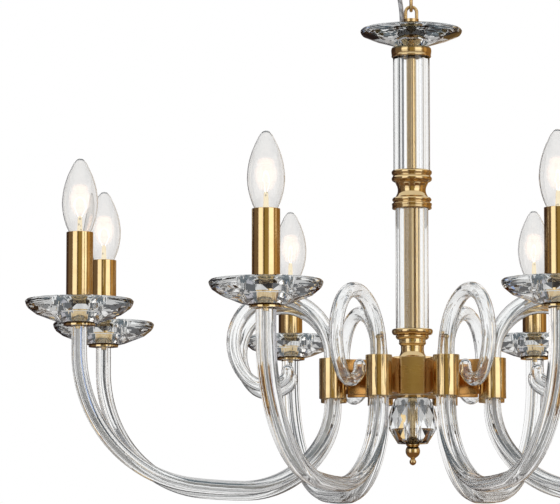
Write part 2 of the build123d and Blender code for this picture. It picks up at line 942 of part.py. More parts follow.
def main():
    os.makedirs("parts", exist_ok=True)
    write("finial", make_finial())
    write("crystal_ball", make_ball())
    write("hub_base", make_hub_base())
    write("hub_body", make_hub_body())
    write("hub_neck", make_neck())
    write("centre_tube", make_centre_tube())
    write("stem_sleeve", make_stem_sleeve())
    write("lower_glass", make_glass_tube(
        lower_glass_radius, lower_glass_level, lower_glass_length, lower_glass_radius - glass_wall
    ))
    write("mid_collar", make_mid_collar())
    write("upper_glass", make_upper_glass())
    write("column_cap", make_cap())
    write("top_dish", Pos(0, 0, top_dish_level) * make_top_dish())
    write("loop_nut", make_nut())
    write("hang_loop", make_hang_loop())
    for index in range(link_count):
        write(f"chain_link_{index + 1}", make_link(index))
    write("ceiling_loop", make_ceiling_loop())
    write("ceiling_canopy", make_canopy())
    write("ceiling_bracket", make_bracket())
    write("cord_gland", make_gland())
    write("supply_cord", make_cord())

    write_each("arm", make_arm())
    write_each("scroll", make_scroll())
    write_each("dish", Pos(candle_radius, 0, dish_level) * make_candle_dish())
    write_each("bulb", Pos(candle_radius, 0, 0) * make_bulb())
    candle = Pos(candle_radius, 0, 0)
    write_group("candle_sleeves", [candle * make_sleeve()])
    write_group("candle_cups", [candle * make_seat(), candle * make_cup()])
    write_group("lamp_holders", [candle * make_holder()])
    write_group("arm_clamps", [make_clamp()])
    write_group("scroll_pins", [make_pin()])
    write_group("arm_wires", [make_wire()])


main()
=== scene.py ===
"""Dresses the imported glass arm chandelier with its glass, brass, lamps, cord and studio."""

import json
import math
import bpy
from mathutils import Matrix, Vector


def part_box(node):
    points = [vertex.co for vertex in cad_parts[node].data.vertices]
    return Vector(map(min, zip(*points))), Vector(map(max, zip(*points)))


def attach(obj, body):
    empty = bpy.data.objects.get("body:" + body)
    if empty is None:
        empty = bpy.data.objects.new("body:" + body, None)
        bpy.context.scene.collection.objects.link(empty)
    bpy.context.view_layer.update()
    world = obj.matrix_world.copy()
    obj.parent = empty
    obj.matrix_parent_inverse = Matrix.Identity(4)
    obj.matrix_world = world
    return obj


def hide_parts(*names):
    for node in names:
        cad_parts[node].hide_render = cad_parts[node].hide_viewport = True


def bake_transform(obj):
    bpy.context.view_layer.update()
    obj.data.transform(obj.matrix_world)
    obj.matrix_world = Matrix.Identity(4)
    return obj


bl_info = {
    "name": "Glass arm chandelier",
    "version": (1, 0, 0),
    "blender": (4, 5, 0),
    "location": "View3D > Sidebar > Chandelier",
    "description": "Builds the glass, crystal, lamps, flex and finishes of a glass arm chandelier",
    "category": "Object",
}

import bmesh
import bpy
from bpy.props import FloatProperty, FloatVectorProperty, IntProperty, PointerProperty
from mathutils import Matrix, Vector

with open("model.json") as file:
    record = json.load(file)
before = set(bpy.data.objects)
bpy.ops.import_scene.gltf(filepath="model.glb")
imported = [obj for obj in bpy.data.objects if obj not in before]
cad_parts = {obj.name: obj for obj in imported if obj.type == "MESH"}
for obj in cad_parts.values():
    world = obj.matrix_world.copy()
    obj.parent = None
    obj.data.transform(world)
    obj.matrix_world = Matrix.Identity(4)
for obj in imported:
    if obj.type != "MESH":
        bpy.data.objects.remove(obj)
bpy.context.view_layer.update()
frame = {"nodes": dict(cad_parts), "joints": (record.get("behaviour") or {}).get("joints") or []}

BODY = "chandelier"


def low(node):
    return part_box(node)[0].z


def high(node):
    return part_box(node)[1].z


def reach(node):
    """Radius of a piece that stands on the column's axis."""
    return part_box(node)[1].x


def middle(node):
    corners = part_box(node)
    return (corners[0] + corners[1]) / 2


arm_count = sum(name.startswith("arm_") and name[4:].isdigit() for name in frame["nodes"])
arm_angles = [
    math.atan2(middle(f"bulb_{k}").y, middle(f"bulb_{k}").x) for k in range(1, arm_count + 1)
]


# Sizes and colours


def length(name, default, description):
    return FloatProperty(
        name=name, description=description, default=default, min=0.0, unit="LENGTH",
        subtype="DISTANCE", precision=5,
    )


def angle(name, default, description):
    return FloatProperty(
        name=name, description=description, default=math.radians(default), unit="ROTATION",
        subtype="ANGLE",
    )


def colour(name, default, description):
    return FloatVectorProperty(
        name=name, description=description, default=default, min=0.0, max=1.0, size=3,
        subtype="COLOR",
    )


class ArmSizes(bpy.types.PropertyGroup):
    candle_radius: length("Candle radius", middle("bulb_1").xy.length, "Column axis to candle axis")
    clamp_radius: length("Clamp radius", 0.086, "Column axis to the axis of an arm clamp")
    half_width: length("Half width", 0.0102, "Half the arm's width, across the arm")
    half_depth: length("Half depth", 0.0073, "Half the arm's depth, in its own plane")
    lobes: IntProperty(name="Lobes", description="Ribs round an arm", default=10, min=4)
    lobe_rise: length("Lobe rise", 0.0005, "How far a rib stands over the valleys beside it")
    bore: length("Bore radius", 0.003, "Radius of the way for the wire")
    grip: length("Grip", 0.0159, "Length of glass inside the clamp")
    riser: length("Riser", 0.025, "Straight glass under a dish")
    foot_radius: length("Foot radius", 0.5, "Radius of the flat stretch at the bottom")
    foot_turn: angle("Foot turn", 6.0, "Turn of the flat stretch")
    hub_bend_radius: length("Hub bend radius", 0.1, "Radius of the bend under the hub")
    hub_bend_turn: angle("Hub bend turn", 55.0, "Turn of the bend under the hub")
    clamp_bend_radius: length("Clamp bend radius", 0.075, "Radius of the bend up to the clamp")
    neck: length("Neck", 0.004, "Straight glass under the clamp")


class ScrollSizes(bpy.types.PropertyGroup):
    base_radius: length("Base radius", 0.0083, "Radius of a scroll at its clamp")
    tip_radius: length("Tip radius", 0.0061, "Radius of a scroll at its curled end")
    wall: length("Wall", 0.0019, "Thickness of the glass")
    riser: length("Riser", 0.018, "Straight glass above the clamp")
    lobes: IntProperty(name="Lobes", description="Ribs round a scroll", default=8, min=4)
    lobe_rise: length("Lobe rise", 0.0003, "How far a rib stands over the valleys beside it")
    pin_radius: length("Pin radius", 0.0015, "Radius of the pin inside a scroll")
    pin_ball: length("Pin ball", 0.0026, "Radius of the ball on that pin")
    pin_height: length("Pin height", 0.041, "Height of the pin from its foot")


class ColumnSizes(bpy.types.PropertyGroup):
    lower_wall: length("Lower wall", 0.0032, "Thickness of the lower glass")
    upper_radius: length("Upper radius", 0.0186, "Radius of the upper glass over its flutes")
    upper_bore: length("Upper bore", 0.011, "Inner radius of the upper glass")
    flutes: IntProperty(name="Flutes", description="Flutes of the upper glass", default=16, min=4)
    flute_depth: length("Flute depth", 0.00025, "Depth of a flute")


class BrassSizes(bpy.types.PropertyGroup):
    hub_flat: length("Hub flat", 0.0366, "Column axis to the middle of a flat")
    hub_bow: length("Hub bow", 0.0008, "Rise of a flat's middle over its edges")
    hub_fillet: length("Hub fillet", 0.0016, "Radius between a flat and a bridge")
    tube_bore: length("Tube bore", 0.0047, "Radius of the hole for the centre tube")
    clamp_outer: length("Clamp radius", 0.013, "Outer radius of a clamp")
    clamp_bore: length("Clamp bore", 0.0105, "Inner radius of a clamp")
    clamp_height: length("Clamp height", high("arm_clamps") - low("arm_clamps"), "Clamp height")
    web_height: length("Web height", 0.0199, "Height of the web inside a clamp")
    web_thickness: length("Web thickness", 0.003, "Thickness of that web")
    web_hole: length("Web hole", 0.0016, "Radius of the hole for the pin")
    bridge_thickness: length("Bridge thickness", 0.006, "Thickness between hub and clamp")
    bridge_height: length("Bridge height", 0.0347, "Height of the bridge")
    bridge_inset: length("Bridge inset", 0.0004, "Hub's lower face to the bridge's lower edge")
    bridge_sunk: length("Bridge sunk", 0.0005, "How far a bridge reaches into the hub")
    bridge_lap: length("Bridge lap", 0.0006, "How far a bridge reaches into its clamp")
    slot_width: length("Slot width", 0.003, "Width of the slot beside the clamp")
    slot_height: length("Slot height", 0.008, "Height of the slot beside the clamp")
    sleeve_radius: length("Sleeve radius", 0.013, "Outer radius of a candle sleeve")
    sleeve_wall: length("Sleeve wall", 0.001, "Wall of a candle sleeve")
    edge: length("Edge", 0.0004, "Size of the softened edges")


class LampSizes(bpy.types.PropertyGroup):
    radius: length("Radius", 0.0175, "Largest radius of a lamp")
    height: length("Height", 0.072, "How far a lamp stands above its sleeve")
    widest: length("Widest", 0.029, "Height of the widest place above the sleeve")
    mouth: length("Mouth", 0.0106, "Radius at the sleeve's edge")
    neck: length("Neck", 0.008, "Radius of the neck")
    neck_depth: length("Neck depth", 0.009, "How far the neck reaches into the sleeve")
    wall: length("Wall", 0.0009, "Thickness of the glass")
    cap_radius: length("Cap radius", 0.0069, "Radius of the screw cap")
    cap_length: length("Cap length", 0.019, "Length of the screw cap")
    thread_pitch: length("Thread pitch", 0.0024, "Distance between the cap's threads")
    thread_depth: length("Thread depth", 0.0008, "Depth of the cap's threads")
    thread_width: length("Thread width", 0.0017, "Width of a thread at its foot")
    threads: IntProperty(name="Threads", description="Threads of the cap", default=6, min=1)
    haze_foot: length("Haze foot", 0.016, "Sleeve to the lowest point of the haze of light")


class FlexSizes(bpy.types.PropertyGroup):
    radius: length("Radius", 0.0023, "Radius of the supply flex")
    twist: length("Twist", 0.019, "Length of one turn of the cores inside the flex")


class FinishColours(bpy.types.PropertyGroup):
    brass: colour("Brass", (0.66, 0.50, 0.27), "Satin antique brass")
    tarnish: colour("Tarnish", (0.44, 0.27, 0.10), "Browned brass in hollows and patches")
    # The bridges' colour is painted shade: a darker copy of the brass for their shadowed sides
    # between hub and clamps.
    amber: colour("Amber", (0.50, 0.26, 0.08), "Brass of the bridges, darkened with painted shade")
    glass: colour("Glass", (0.985, 0.99, 0.99), "Clear blown glass")
    crystal: colour("Crystal", (0.975, 0.99, 0.99), "Clear cut crystal")
    lamp_glass: colour("Lamp glass", (0.925, 0.92, 0.912), "Clear lamp glass")
    glow: colour("Glow", (1.0, 0.87, 0.79), "Light of the filament")
    flex: colour("Flex", (0.62, 0.63, 0.66), "Clear sheath over tinned cores")
    holder: colour("Holder", (0.78, 0.76, 0.7), "Heat resistant moulding")
    steel: colour("Steel", (0.6, 0.61, 0.62), "Zinc plated steel")
    wire: colour("Wire", (0.8, 0.8, 0.78), "Tinned wire in the arms")
    gland: colour("Gland", (0.8, 0.8, 0.8), "Milky moulding of the cord gland")
    floor: colour("Floor", (0.9, 0.9, 0.9), "Plain pale floor")


class StudioSettings(bpy.types.PropertyGroup):
    distance: length("Distance", 3.5115, "Column axis to the camera")
    camera_height: FloatProperty(
        name="Camera height", description="Height of the camera under the ceiling",
        default=-0.7672, unit="LENGTH", subtype="DISTANCE",
    )
    pitch: angle("Pitch", 6.011, "How far the camera looks up")
    yaw: angle("Yaw", 2.161, "How far the camera looks to the left of the column")
    lens: FloatProperty(name="Lens", description="Focal length in mm", default=226.2, min=1.0)
    floor_drop: length("Floor drop", 2.3, "Ceiling to floor")


SIZE_GROUPS = {
    "chandelier_arm": ArmSizes,
    "chandelier_scroll": ScrollSizes,
    "chandelier_column": ColumnSizes,
    "chandelier_brass": BrassSizes,
    "chandelier_lamp": LampSizes,
    "chandelier_flex": FlexSizes,
    "chandelier_finish": FinishColours,
    "chandelier_studio": StudioSettings,
}


# Mesh making

ON_AXIS = 1e-6  # a place nearer the axis than this is a pole
NO_LENGTH = 1e-7  # an edge shorter than this has no direction
NEARLY_STRAIGHT = math.radians(14)  # a corner that turns less stays as it is


def finished_mesh(name, points, faces, crease=35.0):
    """A mesh with its faces outwards, smooth but for edges sharper than the crease."""
    mesh = bpy.data.meshes.new(name)
    mesh.from_pydata([tuple(point) for point in points], [], faces)
    work = bmesh.new()
    work.from_mesh(mesh)
    bmesh.ops.recalc_face_normals(work, faces=work.faces)
    work.to_mesh(mesh)
    work.free()
    mesh.shade_smooth()
    mesh.set_sharp_from_angle(angle=math.radians(crease))
    return mesh


def skin(name, rings, closed=False, crease=35.0, lengthwise=None):
    """Faces between rings of points. A ring of one point is a pole, and a closed skin joins
    its last ring to its first. Lengthwise gives each ring's place along the piece, for the
    UV map."""
    points, starts = [], []
    for ring in rings:
        starts.append(len(points))
        points += ring
    faces, marks = [], []
    pairs = list(zip(range(len(rings)), range(1, len(rings))))
    if closed:
        pairs.append((len(rings) - 1, 0))
    for a, b in pairs:
        first, second = rings[a], rings[b]
        around = max(len(first), len(second))
        if around == 1:
            continue
        for i in range(around):
            j = (i + 1) % around
            corners = [(a, i), (a, j), (b, j), (b, i)]
            if len(first) == 1:
                corners = [(a, 0), (b, j), (b, i)]
            elif len(second) == 1:
                corners = [(a, i), (a, j), (b, 0)]
            faces.append([starts[ring] + place for ring, place in corners])
            marks.append((i / around, (i + 1) / around, a, b))
    mesh = finished_mesh(name, points, faces, crease)
    if lengthwise:
        layer = mesh.uv_layers.new(name="lengthwise")
        ring_of = {}
        for number, (start, ring) in enumerate(zip(starts, rings)):
            for place in range(len(ring)):
                ring_of[start + place] = (number, place / len(ring))
        for polygon, (left, right, a, b) in zip(mesh.polygons, marks):
            for loop in polygon.loop_indices:
                number, share = ring_of[mesh.loops[loop].vertex_index]
                if share < left - 1e-6 or (share == 0 and right == 1.0):
                    share = 1.0
                layer.data[loop].uv = (share, lengthwise[number])
    return mesh


def bowed(corners, steps=10):
    """Follows the edges of a half outline. A third number bows the edge that ends there."""
    line = []
    for (r0, z0, *_), (r1, z1, *bow) in zip([corners[-1], *corners[:-1]], corners):
        if bow and bow[0] and (r0, z0) != (r1, z1):
            chord = math.hypot(r1 - r0, z1 - z0)
            out = Vector(((z1 - z0) / chord, (r0 - r1) / chord))
            rise = bow[0]
            radius = (chord * chord / 4 + rise * rise) / (2 * abs(rise))
            start = Vector((r0, z0))
            along = Vector((r1 - r0, z1 - z0)) / chord
            half = math.asin(min(1.0, chord / 2 / radius))
            for i in range(1, steps):
                a = -half + 2 * half * i / steps
                lift = radius * (math.cos(a) - math.cos(half)) * math.copysign(1, rise)
                at = start + along * (chord / 2 + radius * math.sin(a)) + out * lift
                line.append((max(at.x, 0.0), at.y, False))
        line.append((r1, z1, True))
    return line


def eased(line, size, closed):
    """Rounds the marked corners of a line of (r, z, is corner)."""
    rounded = []
    count = len(line)
    for i, (r, z, corner) in enumerate(line):
        ends = not closed and i in (0, count - 1)
        before, after = line[i - 1], line[(i + 1) % count]
        into, out = Vector((r - before[0], z - before[1])), Vector((after[0] - r, after[1] - z))
        if not corner or ends or r < ON_AXIS or min(into.length, out.length) < NO_LENGTH:
            rounded.append((r, z))
            continue
        if into.angle(out) < NEARLY_STRAIGHT:
            rounded.append((r, z))
            continue
        cut = min(size, 0.4 * into.length, 0.4 * out.length)
        a = Vector((r, z)) - into.normalized() * cut
        c = Vector((r, z)) + out.normalized() * cut
        for t in (0.0, 0.25, 0.5, 0.75, 1.0):
            at = a * (1 - t) ** 2 + Vector((r, z)) * 2 * t * (1 - t) + c * t * t
            rounded.append((at.x, at.y))
    return rounded


def circle(radius, count):
    """Points (x, y) evenly round a circle."""
    turns = [2 * math.pi * i / count for i in range(count)]
    return [(radius * math.cos(turn), radius * math.sin(turn)) for turn in turns]


def lathe_rings(line, level, around):
    """Rings round the upright axis from (r, z) places; a place on the axis is a pole."""
    return [
        [Vector((x, y, z + level)) for x, y in (circle(r, around) if r > ON_AXIS else [(0, 0)])]
        for r, z in line
    ]


def turned(name, corners, level=0.0, around=72, edge=0.0003, closed=True, crease=35.0):
    """A lathe-turned mesh from a half outline in metres, raised to a level."""
    rings = lathe_rings(eased(bowed(corners), edge, closed), level, around)
    return skin(name, rings, closed=closed, crease=crease)


def bent_line(start, heading, moves, degrees=2.5, run=0.006):
    """(point, heading, distance) along straights and (radius, turn) bends in the XZ plane."""
    x, z = start
    line, gone = [(Vector((x, 0, z)), heading, 0.0)], 0.0
    for move in moves:
        if isinstance(move, tuple):
            radius, turn = move
            side = math.copysign(math.pi / 2, turn)
            centre = (x + radius * math.cos(heading + side), z + radius * math.sin(heading + side))
            steps = max(2, math.ceil(abs(turn) / math.radians(degrees)))
            for i in range(1, steps + 1):
                now = heading + turn * i / steps
                x = centre[0] - radius * math.cos(now + side)
                z = centre[1] - radius * math.sin(now + side)
                gone += radius * abs(turn) / steps
                line.append((Vector((x, 0, z)), now, gone))
            heading += turn
        else:
            steps = max(1, math.ceil(move / run))
            for _ in range(steps):
                x += move / steps * math.cos(heading)
                z += move / steps * math.sin(heading)
                gone += move / steps
                line.append((Vector((x, 0, z)), heading, gone))
    return line


def ring_at(point, heading, section):
    """A cross-section of (in the plane, across it) offsets, set square to the line."""
    inward = Vector((-math.sin(heading), 0, math.cos(heading)))
    return [point + inward * u + Vector((0, 1, 0)) * v for u, v in section]


def lobed(half_depth, half_width, lobes, rise, steps=8):
    """An oval whose rim is a row of lobes with their crests on the oval."""
    section = []
    for i in range(lobes * steps):
        share = i % steps / steps
        drop = rise * (2 * share - 1) ** 2
        turn = 2 * math.pi * i / (lobes * steps)
        section.append(((half_depth - drop) * math.cos(turn), (half_width - drop) * math.sin(turn)))
    return section


# Setting pieces in place


def set_piece(name, mesh, finish, body=BODY, replaces=()):
    piece = bpy.data.objects.new(name, mesh)
    bpy.context.scene.collection.objects.link(piece)
    mesh.materials.append(finish)
    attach(piece, body)
    if replaces:
        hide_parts(*replaces)
    return piece


def set_round(name, mesh, finish, radius=0.0, node=None, lamp=False):
    """One piece on each arm, turned to that arm's angle."""
    for number, turn in enumerate(arm_angles, 1):
        copy = mesh.copy()
        copy.transform(Matrix.Rotation(turn, 4, "Z") @ Matrix.Translation((radius, 0, 0)))
        replaced = [node.format(number)] if node else []
        body = f"lamp_{number}" if lamp else BODY
        set_piece(f"{name}_{number}", copy, finish, body, replaced)
    bpy.data.meshes.remove(mesh)


def finish_nodes(finish, *names):
    for name in names:
        mesh = frame["nodes"][name].data
        mesh.materials.clear()
        mesh.materials.append(finish)


# Finishes


def feed(tree, node, inputs):
    """Sets inputs of a node, or links those whose value is a socket."""
    for key, value in inputs.items():
        if isinstance(value, bpy.types.NodeSocket):
            tree.links.new(value, node.inputs[key])
        else:
            node.inputs[key].default_value = value


def add(tree, kind, inputs=None, **settings):
    made = tree.nodes.new("ShaderNode" + kind)
    for key, value in settings.items():
        setattr(made, key, value)
    feed(tree, made, inputs or {})
    return made


def shared_group(name, inputs, outputs):
    """A new node group with float inputs, and its input and output nodes."""
    tree = bpy.data.node_groups.new(name, "ShaderNodeTree")
    for label, value in inputs:
        socket = tree.interface.new_socket(label, in_out="INPUT", socket_type="NodeSocketFloat")
        socket.default_value = value
    for label, kind in outputs:
        tree.interface.new_socket(label, in_out="OUTPUT", socket_type="NodeSocket" + kind)
    return tree, tree.nodes.new("NodeGroupInput").outputs, tree.nodes.new("NodeGroupOutput")


def maths(tree, operation, a, b=0.0, c=0.0):
    return add(tree, "Math", {0: a, 1: b, 2: c}, operation=operation).outputs[0]


def noise(tree, place, scale, detail, **more):
    return add(tree, "TexNoise", {"Vector": place, "Scale": scale, "Detail": detail, **more}
               ).outputs["Fac"]


def bumped(tree, strength, distance, height):
    return add(tree, "Bump", {"Strength": strength, "Distance": distance, "Height": height}
               ).outputs[0]


def stretched(tree, value, low_end, high_end):
    """The value with its stretch between two ends spread over 0 to 1."""
    return add(tree, "MapRange", {"Value": value, "From Min": low_end, "From Max": high_end}
               ).outputs[0]


def rgba(value):
    return (*value, 1.0)


def blended(tree, share, first, second):
    """Colour between two; each is a colour or a socket."""
    ends = [end if isinstance(end, bpy.types.NodeSocket) else rgba(end)
            for end in (first, second)]
    return add(tree, "Mix", {"Factor": share, "A": ends[0], "B": ends[1]}, data_type="RGBA"
               ).outputs["Result"]


def turned_marks_group():
    """Fine marks round a turned or brushed piece, with browned patches between them."""
    name = "turned marks"
    if name in bpy.data.node_groups:
        return bpy.data.node_groups[name]
    tree, given, out = shared_group(
        name,
        [("Depth", 0.2), ("Tarnish", 0.5), ("Roughness", 0.22)],
        [("Tarnish", "Float"), ("Roughness", "Float"), ("Normal", "Vector")],
    )
    place = add(tree, "TexCoord").outputs["Object"]
    lined = add(tree, "Mapping", {"Vector": place, "Scale": (30.0, 30.0, 2400.0)}).outputs[0]
    lines = noise(tree, lined, scale=1.0, detail=3.0)
    broad = add(tree, "Mapping", {"Vector": place, "Scale": (60.0, 60.0, 260.0)}).outputs[0]
    bands = noise(tree, broad, scale=1.0, detail=2.0)
    patches = noise(tree, place, scale=55.0, detail=5.0, Roughness=0.6)
    mixed = maths(tree, "ADD", maths(tree, "MULTIPLY", patches, 0.7),
                  maths(tree, "MULTIPLY", bands, 0.3))
    brown = stretched(tree, mixed, low_end=0.4, high_end=0.66)
    height = maths(tree, "ADD", maths(tree, "MULTIPLY", lines, 0.6),
                   maths(tree, "MULTIPLY", bands, 0.4))
    rough = maths(tree, "MULTIPLY_ADD", lines, 0.1, given["Roughness"])
    feed(tree, out, {
        "Tarnish": maths(tree, "MULTIPLY", brown, given["Tarnish"]),
        "Roughness": maths(tree, "MULTIPLY_ADD", brown, 0.06, rough),
        "Normal": bumped(tree, given["Depth"], distance=0.0002, height=height),
    })
    return tree


def drawn_glass_group():
    """The slow ripples and faint haze of hand-made glass."""
    name = "drawn glass"
    if name in bpy.data.node_groups:
        return bpy.data.node_groups[name]
    tree, given, out = shared_group(
        name,
        [("Ripple", 0.3), ("Ripple Scale", 60.0), ("Haze", 0.02)],
        [("Roughness", "Float"), ("Normal", "Vector")],
    )
    place = add(tree, "TexCoord").outputs["Object"]
    waves = noise(tree, place, given["Ripple Scale"], detail=2.0, Roughness=0.4)
    patches = noise(tree, place, scale=240.0, detail=4.0)
    patch = stretched(tree, patches, low_end=0.5, high_end=0.75)
    feed(tree, out, {
        "Roughness": maths(tree, "MULTIPLY", patch, given["Haze"]),
        "Normal": bumped(tree, given["Ripple"], distance=0.001, height=waves),
    })
    return tree


def moulded_group():
    """The fine grain of mouldings and plated steel, with handled patches."""
    name = "fine grain"
    if name in bpy.data.node_groups:
        return bpy.data.node_groups[name]
    tree, given, out = shared_group(
        name,
        [("Grain", 600.0), ("Depth", 0.1), ("Roughness", 0.45)],
        [("Shade", "Float"), ("Roughness", "Float"), ("Normal", "Vector")],
    )
    place = add(tree, "TexCoord").outputs["Object"]
    grain = noise(tree, place, given["Grain"], detail=3.0)
    handled = noise(tree, place, scale=40.0, detail=3.0)
    feed(tree, out, {
        "Shade": handled,
        "Roughness": maths(tree, "MULTIPLY_ADD", handled, 0.15, given["Roughness"]),
        "Normal": bumped(tree, given["Depth"], distance=0.0002, height=grain),
    })
    return tree


def new_finish(name):
    """A material with only its Principled shader, and that shader."""
    finish = bpy.data.materials.new(name)
    finish.use_nodes = True
    return finish, finish.node_tree, finish.node_tree.nodes["Principled BSDF"]


def placed(tree, group, **values):
    """A group's node with the values given, and its outputs."""
    made = tree.nodes.new("ShaderNodeGroup")
    made.node_tree = group
    for key, value in values.items():
        made.inputs[key.replace("_", " ")].default_value = value
    return made.outputs


def surface(tree, shader, grained, inputs):
    """Gives a shader its roughness and relief from a group, and its other inputs."""
    feed(tree, shader, {"Roughness": grained["Roughness"], "Normal": grained["Normal"], **inputs})


def brass_finish(name="antique brass", depth=0.03, tarnish=0.22, roughness=0.05, base=None):
    if name in bpy.data.materials:
        return bpy.data.materials[name]
    colours = bpy.context.scene.chandelier_finish
    finish, tree, shader = new_finish(name)
    marks = placed(tree, turned_marks_group(), Depth=depth, Tarnish=tarnish, Roughness=roughness)
    tint = blended(tree, marks["Tarnish"], base or colours.brass, colours.tarnish)
    surface(tree, shader, marks, {"Base Color": tint, "Metallic": 1.0})
    return finish


# Each glass: its colour, index of refraction, depth and scale of its ripples, and haze.
GLASSES = {
    "clear glass": ("glass", 1.5, 0.02, 30.0, 0.01),
    "tube glass": ("glass", 1.5, 0.02, 20.0, 0.01),
    "cut crystal": ("crystal", 1.56, 0.004, 30.0, 0.004),
    "lamp glass": ("lamp_glass", 1.45, 0.05, 30.0, 0.02),
}


def glass_finish(name):
    if name in bpy.data.materials:
        return bpy.data.materials[name]
    tint, ior, ripple, ripple_scale, haze = GLASSES[name]
    finish, tree, shader = new_finish(name)
    drawn = placed(tree, drawn_glass_group(), Ripple=ripple, Ripple_Scale=ripple_scale, Haze=haze)
    surface(tree, shader, drawn, {
        "Base Color": rgba(getattr(bpy.context.scene.chandelier_finish, tint)),
        "Transmission Weight": 1.0,
        "IOR": ior,
    })
    return finish


def moulded_finish(name, tint, metallic, roughness, transmission=0.0):
    if name in bpy.data.materials:
        return bpy.data.materials[name]
    finish, tree, shader = new_finish(name)
    grained = placed(tree, moulded_group(), Grain=600.0, Roughness=roughness)
    surface(tree, shader, grained, {
        "Base Color": blended(tree, grained["Shade"], [c * 0.88 for c in tint], tint),
        "Metallic": metallic,
        "Transmission Weight": transmission,
    })
    return finish


def flex_finish():
    """Clear sheath with two tinned cores winding round each other inside it."""
    name = "clear flex"
    if name in bpy.data.materials:
        return bpy.data.materials[name]
    scene = bpy.context.scene
    finish, tree, shader = new_finish(name)
    grained = placed(tree, moulded_group(), Grain=900.0, Depth=0.05, Roughness=0.12)
    place = add(tree, "SeparateXYZ", {0: add(tree, "UVMap", uv_map="lengthwise").outputs[0]})
    turns = maths(tree, "DIVIDE", place.outputs["Y"], scene.chandelier_flex.twist)
    phase = maths(tree, "ADD", place.outputs["X"], turns)
    wound = maths(tree, "SINE", maths(tree, "MULTIPLY", phase, 4 * math.pi))
    cores = stretched(tree, wound, low_end=-0.2, high_end=0.9)
    flex = scene.chandelier_finish.flex
    surface(tree, shader, grained, {
        "Base Color": blended(tree, cores, flex, [c * 0.55 for c in flex]),
        "Transmission Weight": 0.35,
        "Coat Weight": 0.6,
    })
    return finish


def glow_finish(name, strength, soft=False):
    """Light of the filament. The soft one thins out towards its edges."""
    if name in bpy.data.materials:
        return bpy.data.materials[name]
    finish, tree, shader = new_finish(name)
    glow = bpy.context.scene.chandelier_finish.glow
    feed(tree, shader, {"Base Color": rgba((0.0, 0.0, 0.0)), "Emission Color": rgba(glow),
                        "Emission Strength": strength})
    if soft:
        facing = add(tree, "LayerWeight", {"Blend": 0.5}).outputs["Facing"]
        inside = maths(tree, "POWER", maths(tree, "SUBTRACT", 1.0, facing), 2.2)
        grain = add(tree, "TexNoise", {"Scale": 90.0, "Detail": 1.0}).outputs["Fac"]
        clear = maths(tree, "MULTIPLY", inside, maths(tree, "MULTIPLY_ADD", grain, 0.3, 0.65))
        feed(tree, shader, {"Alpha": clear, "Specular IOR Level": 0.0})
    return finish


def stem_finish():
    """Glass stem painted with light: it glows as if lit by the filament, with small grey beads and
    a painted warmer glow at its edge.
    """
    name = "lit stem"
    if name in bpy.data.materials:
        return bpy.data.materials[name]
    finish, tree, shader = new_finish(name)
    place = add(tree, "TexCoord").outputs["Object"]
    beads = add(tree, "TexVoronoi", {"Vector": place, "Scale": 260.0}).outputs["Distance"]
    bead = add(tree, "MapRange", {"Value": beads, "From Min": 0.22, "From Max": 0.34,
                                  "To Min": 1.0, "To Max": 0.0}).outputs[0]
    # Painted rim light: the stem glows warmer towards its edge.
    facing = add(tree, "LayerWeight", {"Blend": 0.35}).outputs["Facing"]
    warm = blended(tree, facing, (1.0, 0.9, 0.66), (0.98, 0.74, 0.47))
    # Painted light: the stem glows as if lit, though it is no lamp.
    feed(tree, shader, {
        "Emission Color": blended(tree, bead, warm, (0.55, 0.48, 0.36)),
        "Base Color": rgba((0.0, 0.0, 0.0)),
        "Emission Strength": 1.05,
        "Roughness": 0.5,
    })
    return finish


# Operators


class StageOperator(bpy.types.Operator):
    """Camera, floor, softboxes and flags of a plain pale studio"""

    bl_idname = "chandelier.stage"
    bl_label = "Studio"

    def execute(self, context):
        make_camera(context.scene)
        make_lights(context.scene)
        make_floor(context.scene)
        make_flags(context.scene)
        return {"FINISHED"}


def make_camera(scene):
    studio = scene.chandelier_studio
    data = bpy.data.cameras.new("camera")
    data.lens = studio.lens
    data.sensor_width = 36.0
    data.clip_end = 60.0
    camera = bpy.data.objects.new("camera", data)
    scene.collection.objects.link(camera)
    camera.location = (0, -studio.distance, studio.camera_height)
    camera.rotation_euler = (math.pi / 2 + studio.pitch, 0, studio.yaw)
    scene.camera = camera


def plain_light(name, tint):
    """A surface, bright or dark, that shows its own colour whatever lights it."""
    finish = bpy.data.materials.new(name)
    finish.use_nodes = True
    tree = finish.node_tree
    tree.nodes.clear()
    glow = add(tree, "Emission", {"Color": rgba(tint), "Strength": 1.0})
    add(tree, "OutputMaterial", {"Surface": glow.outputs[0]})
    finish.cycles.emission_sampling = "NONE"
    return finish


# Softboxes: name, compass turn from the camera's side in degrees, width, height, radiance.
SOFTBOXES = (
    ("left_softbox", -40.5, 2.0, 3.2, 0.74),
    ("right_softbox", 42.0, 2.3, 3.2, 0.93),
)
SOFTBOX_DISTANCE, SOFTBOX_LEVEL = 3.4, -0.4


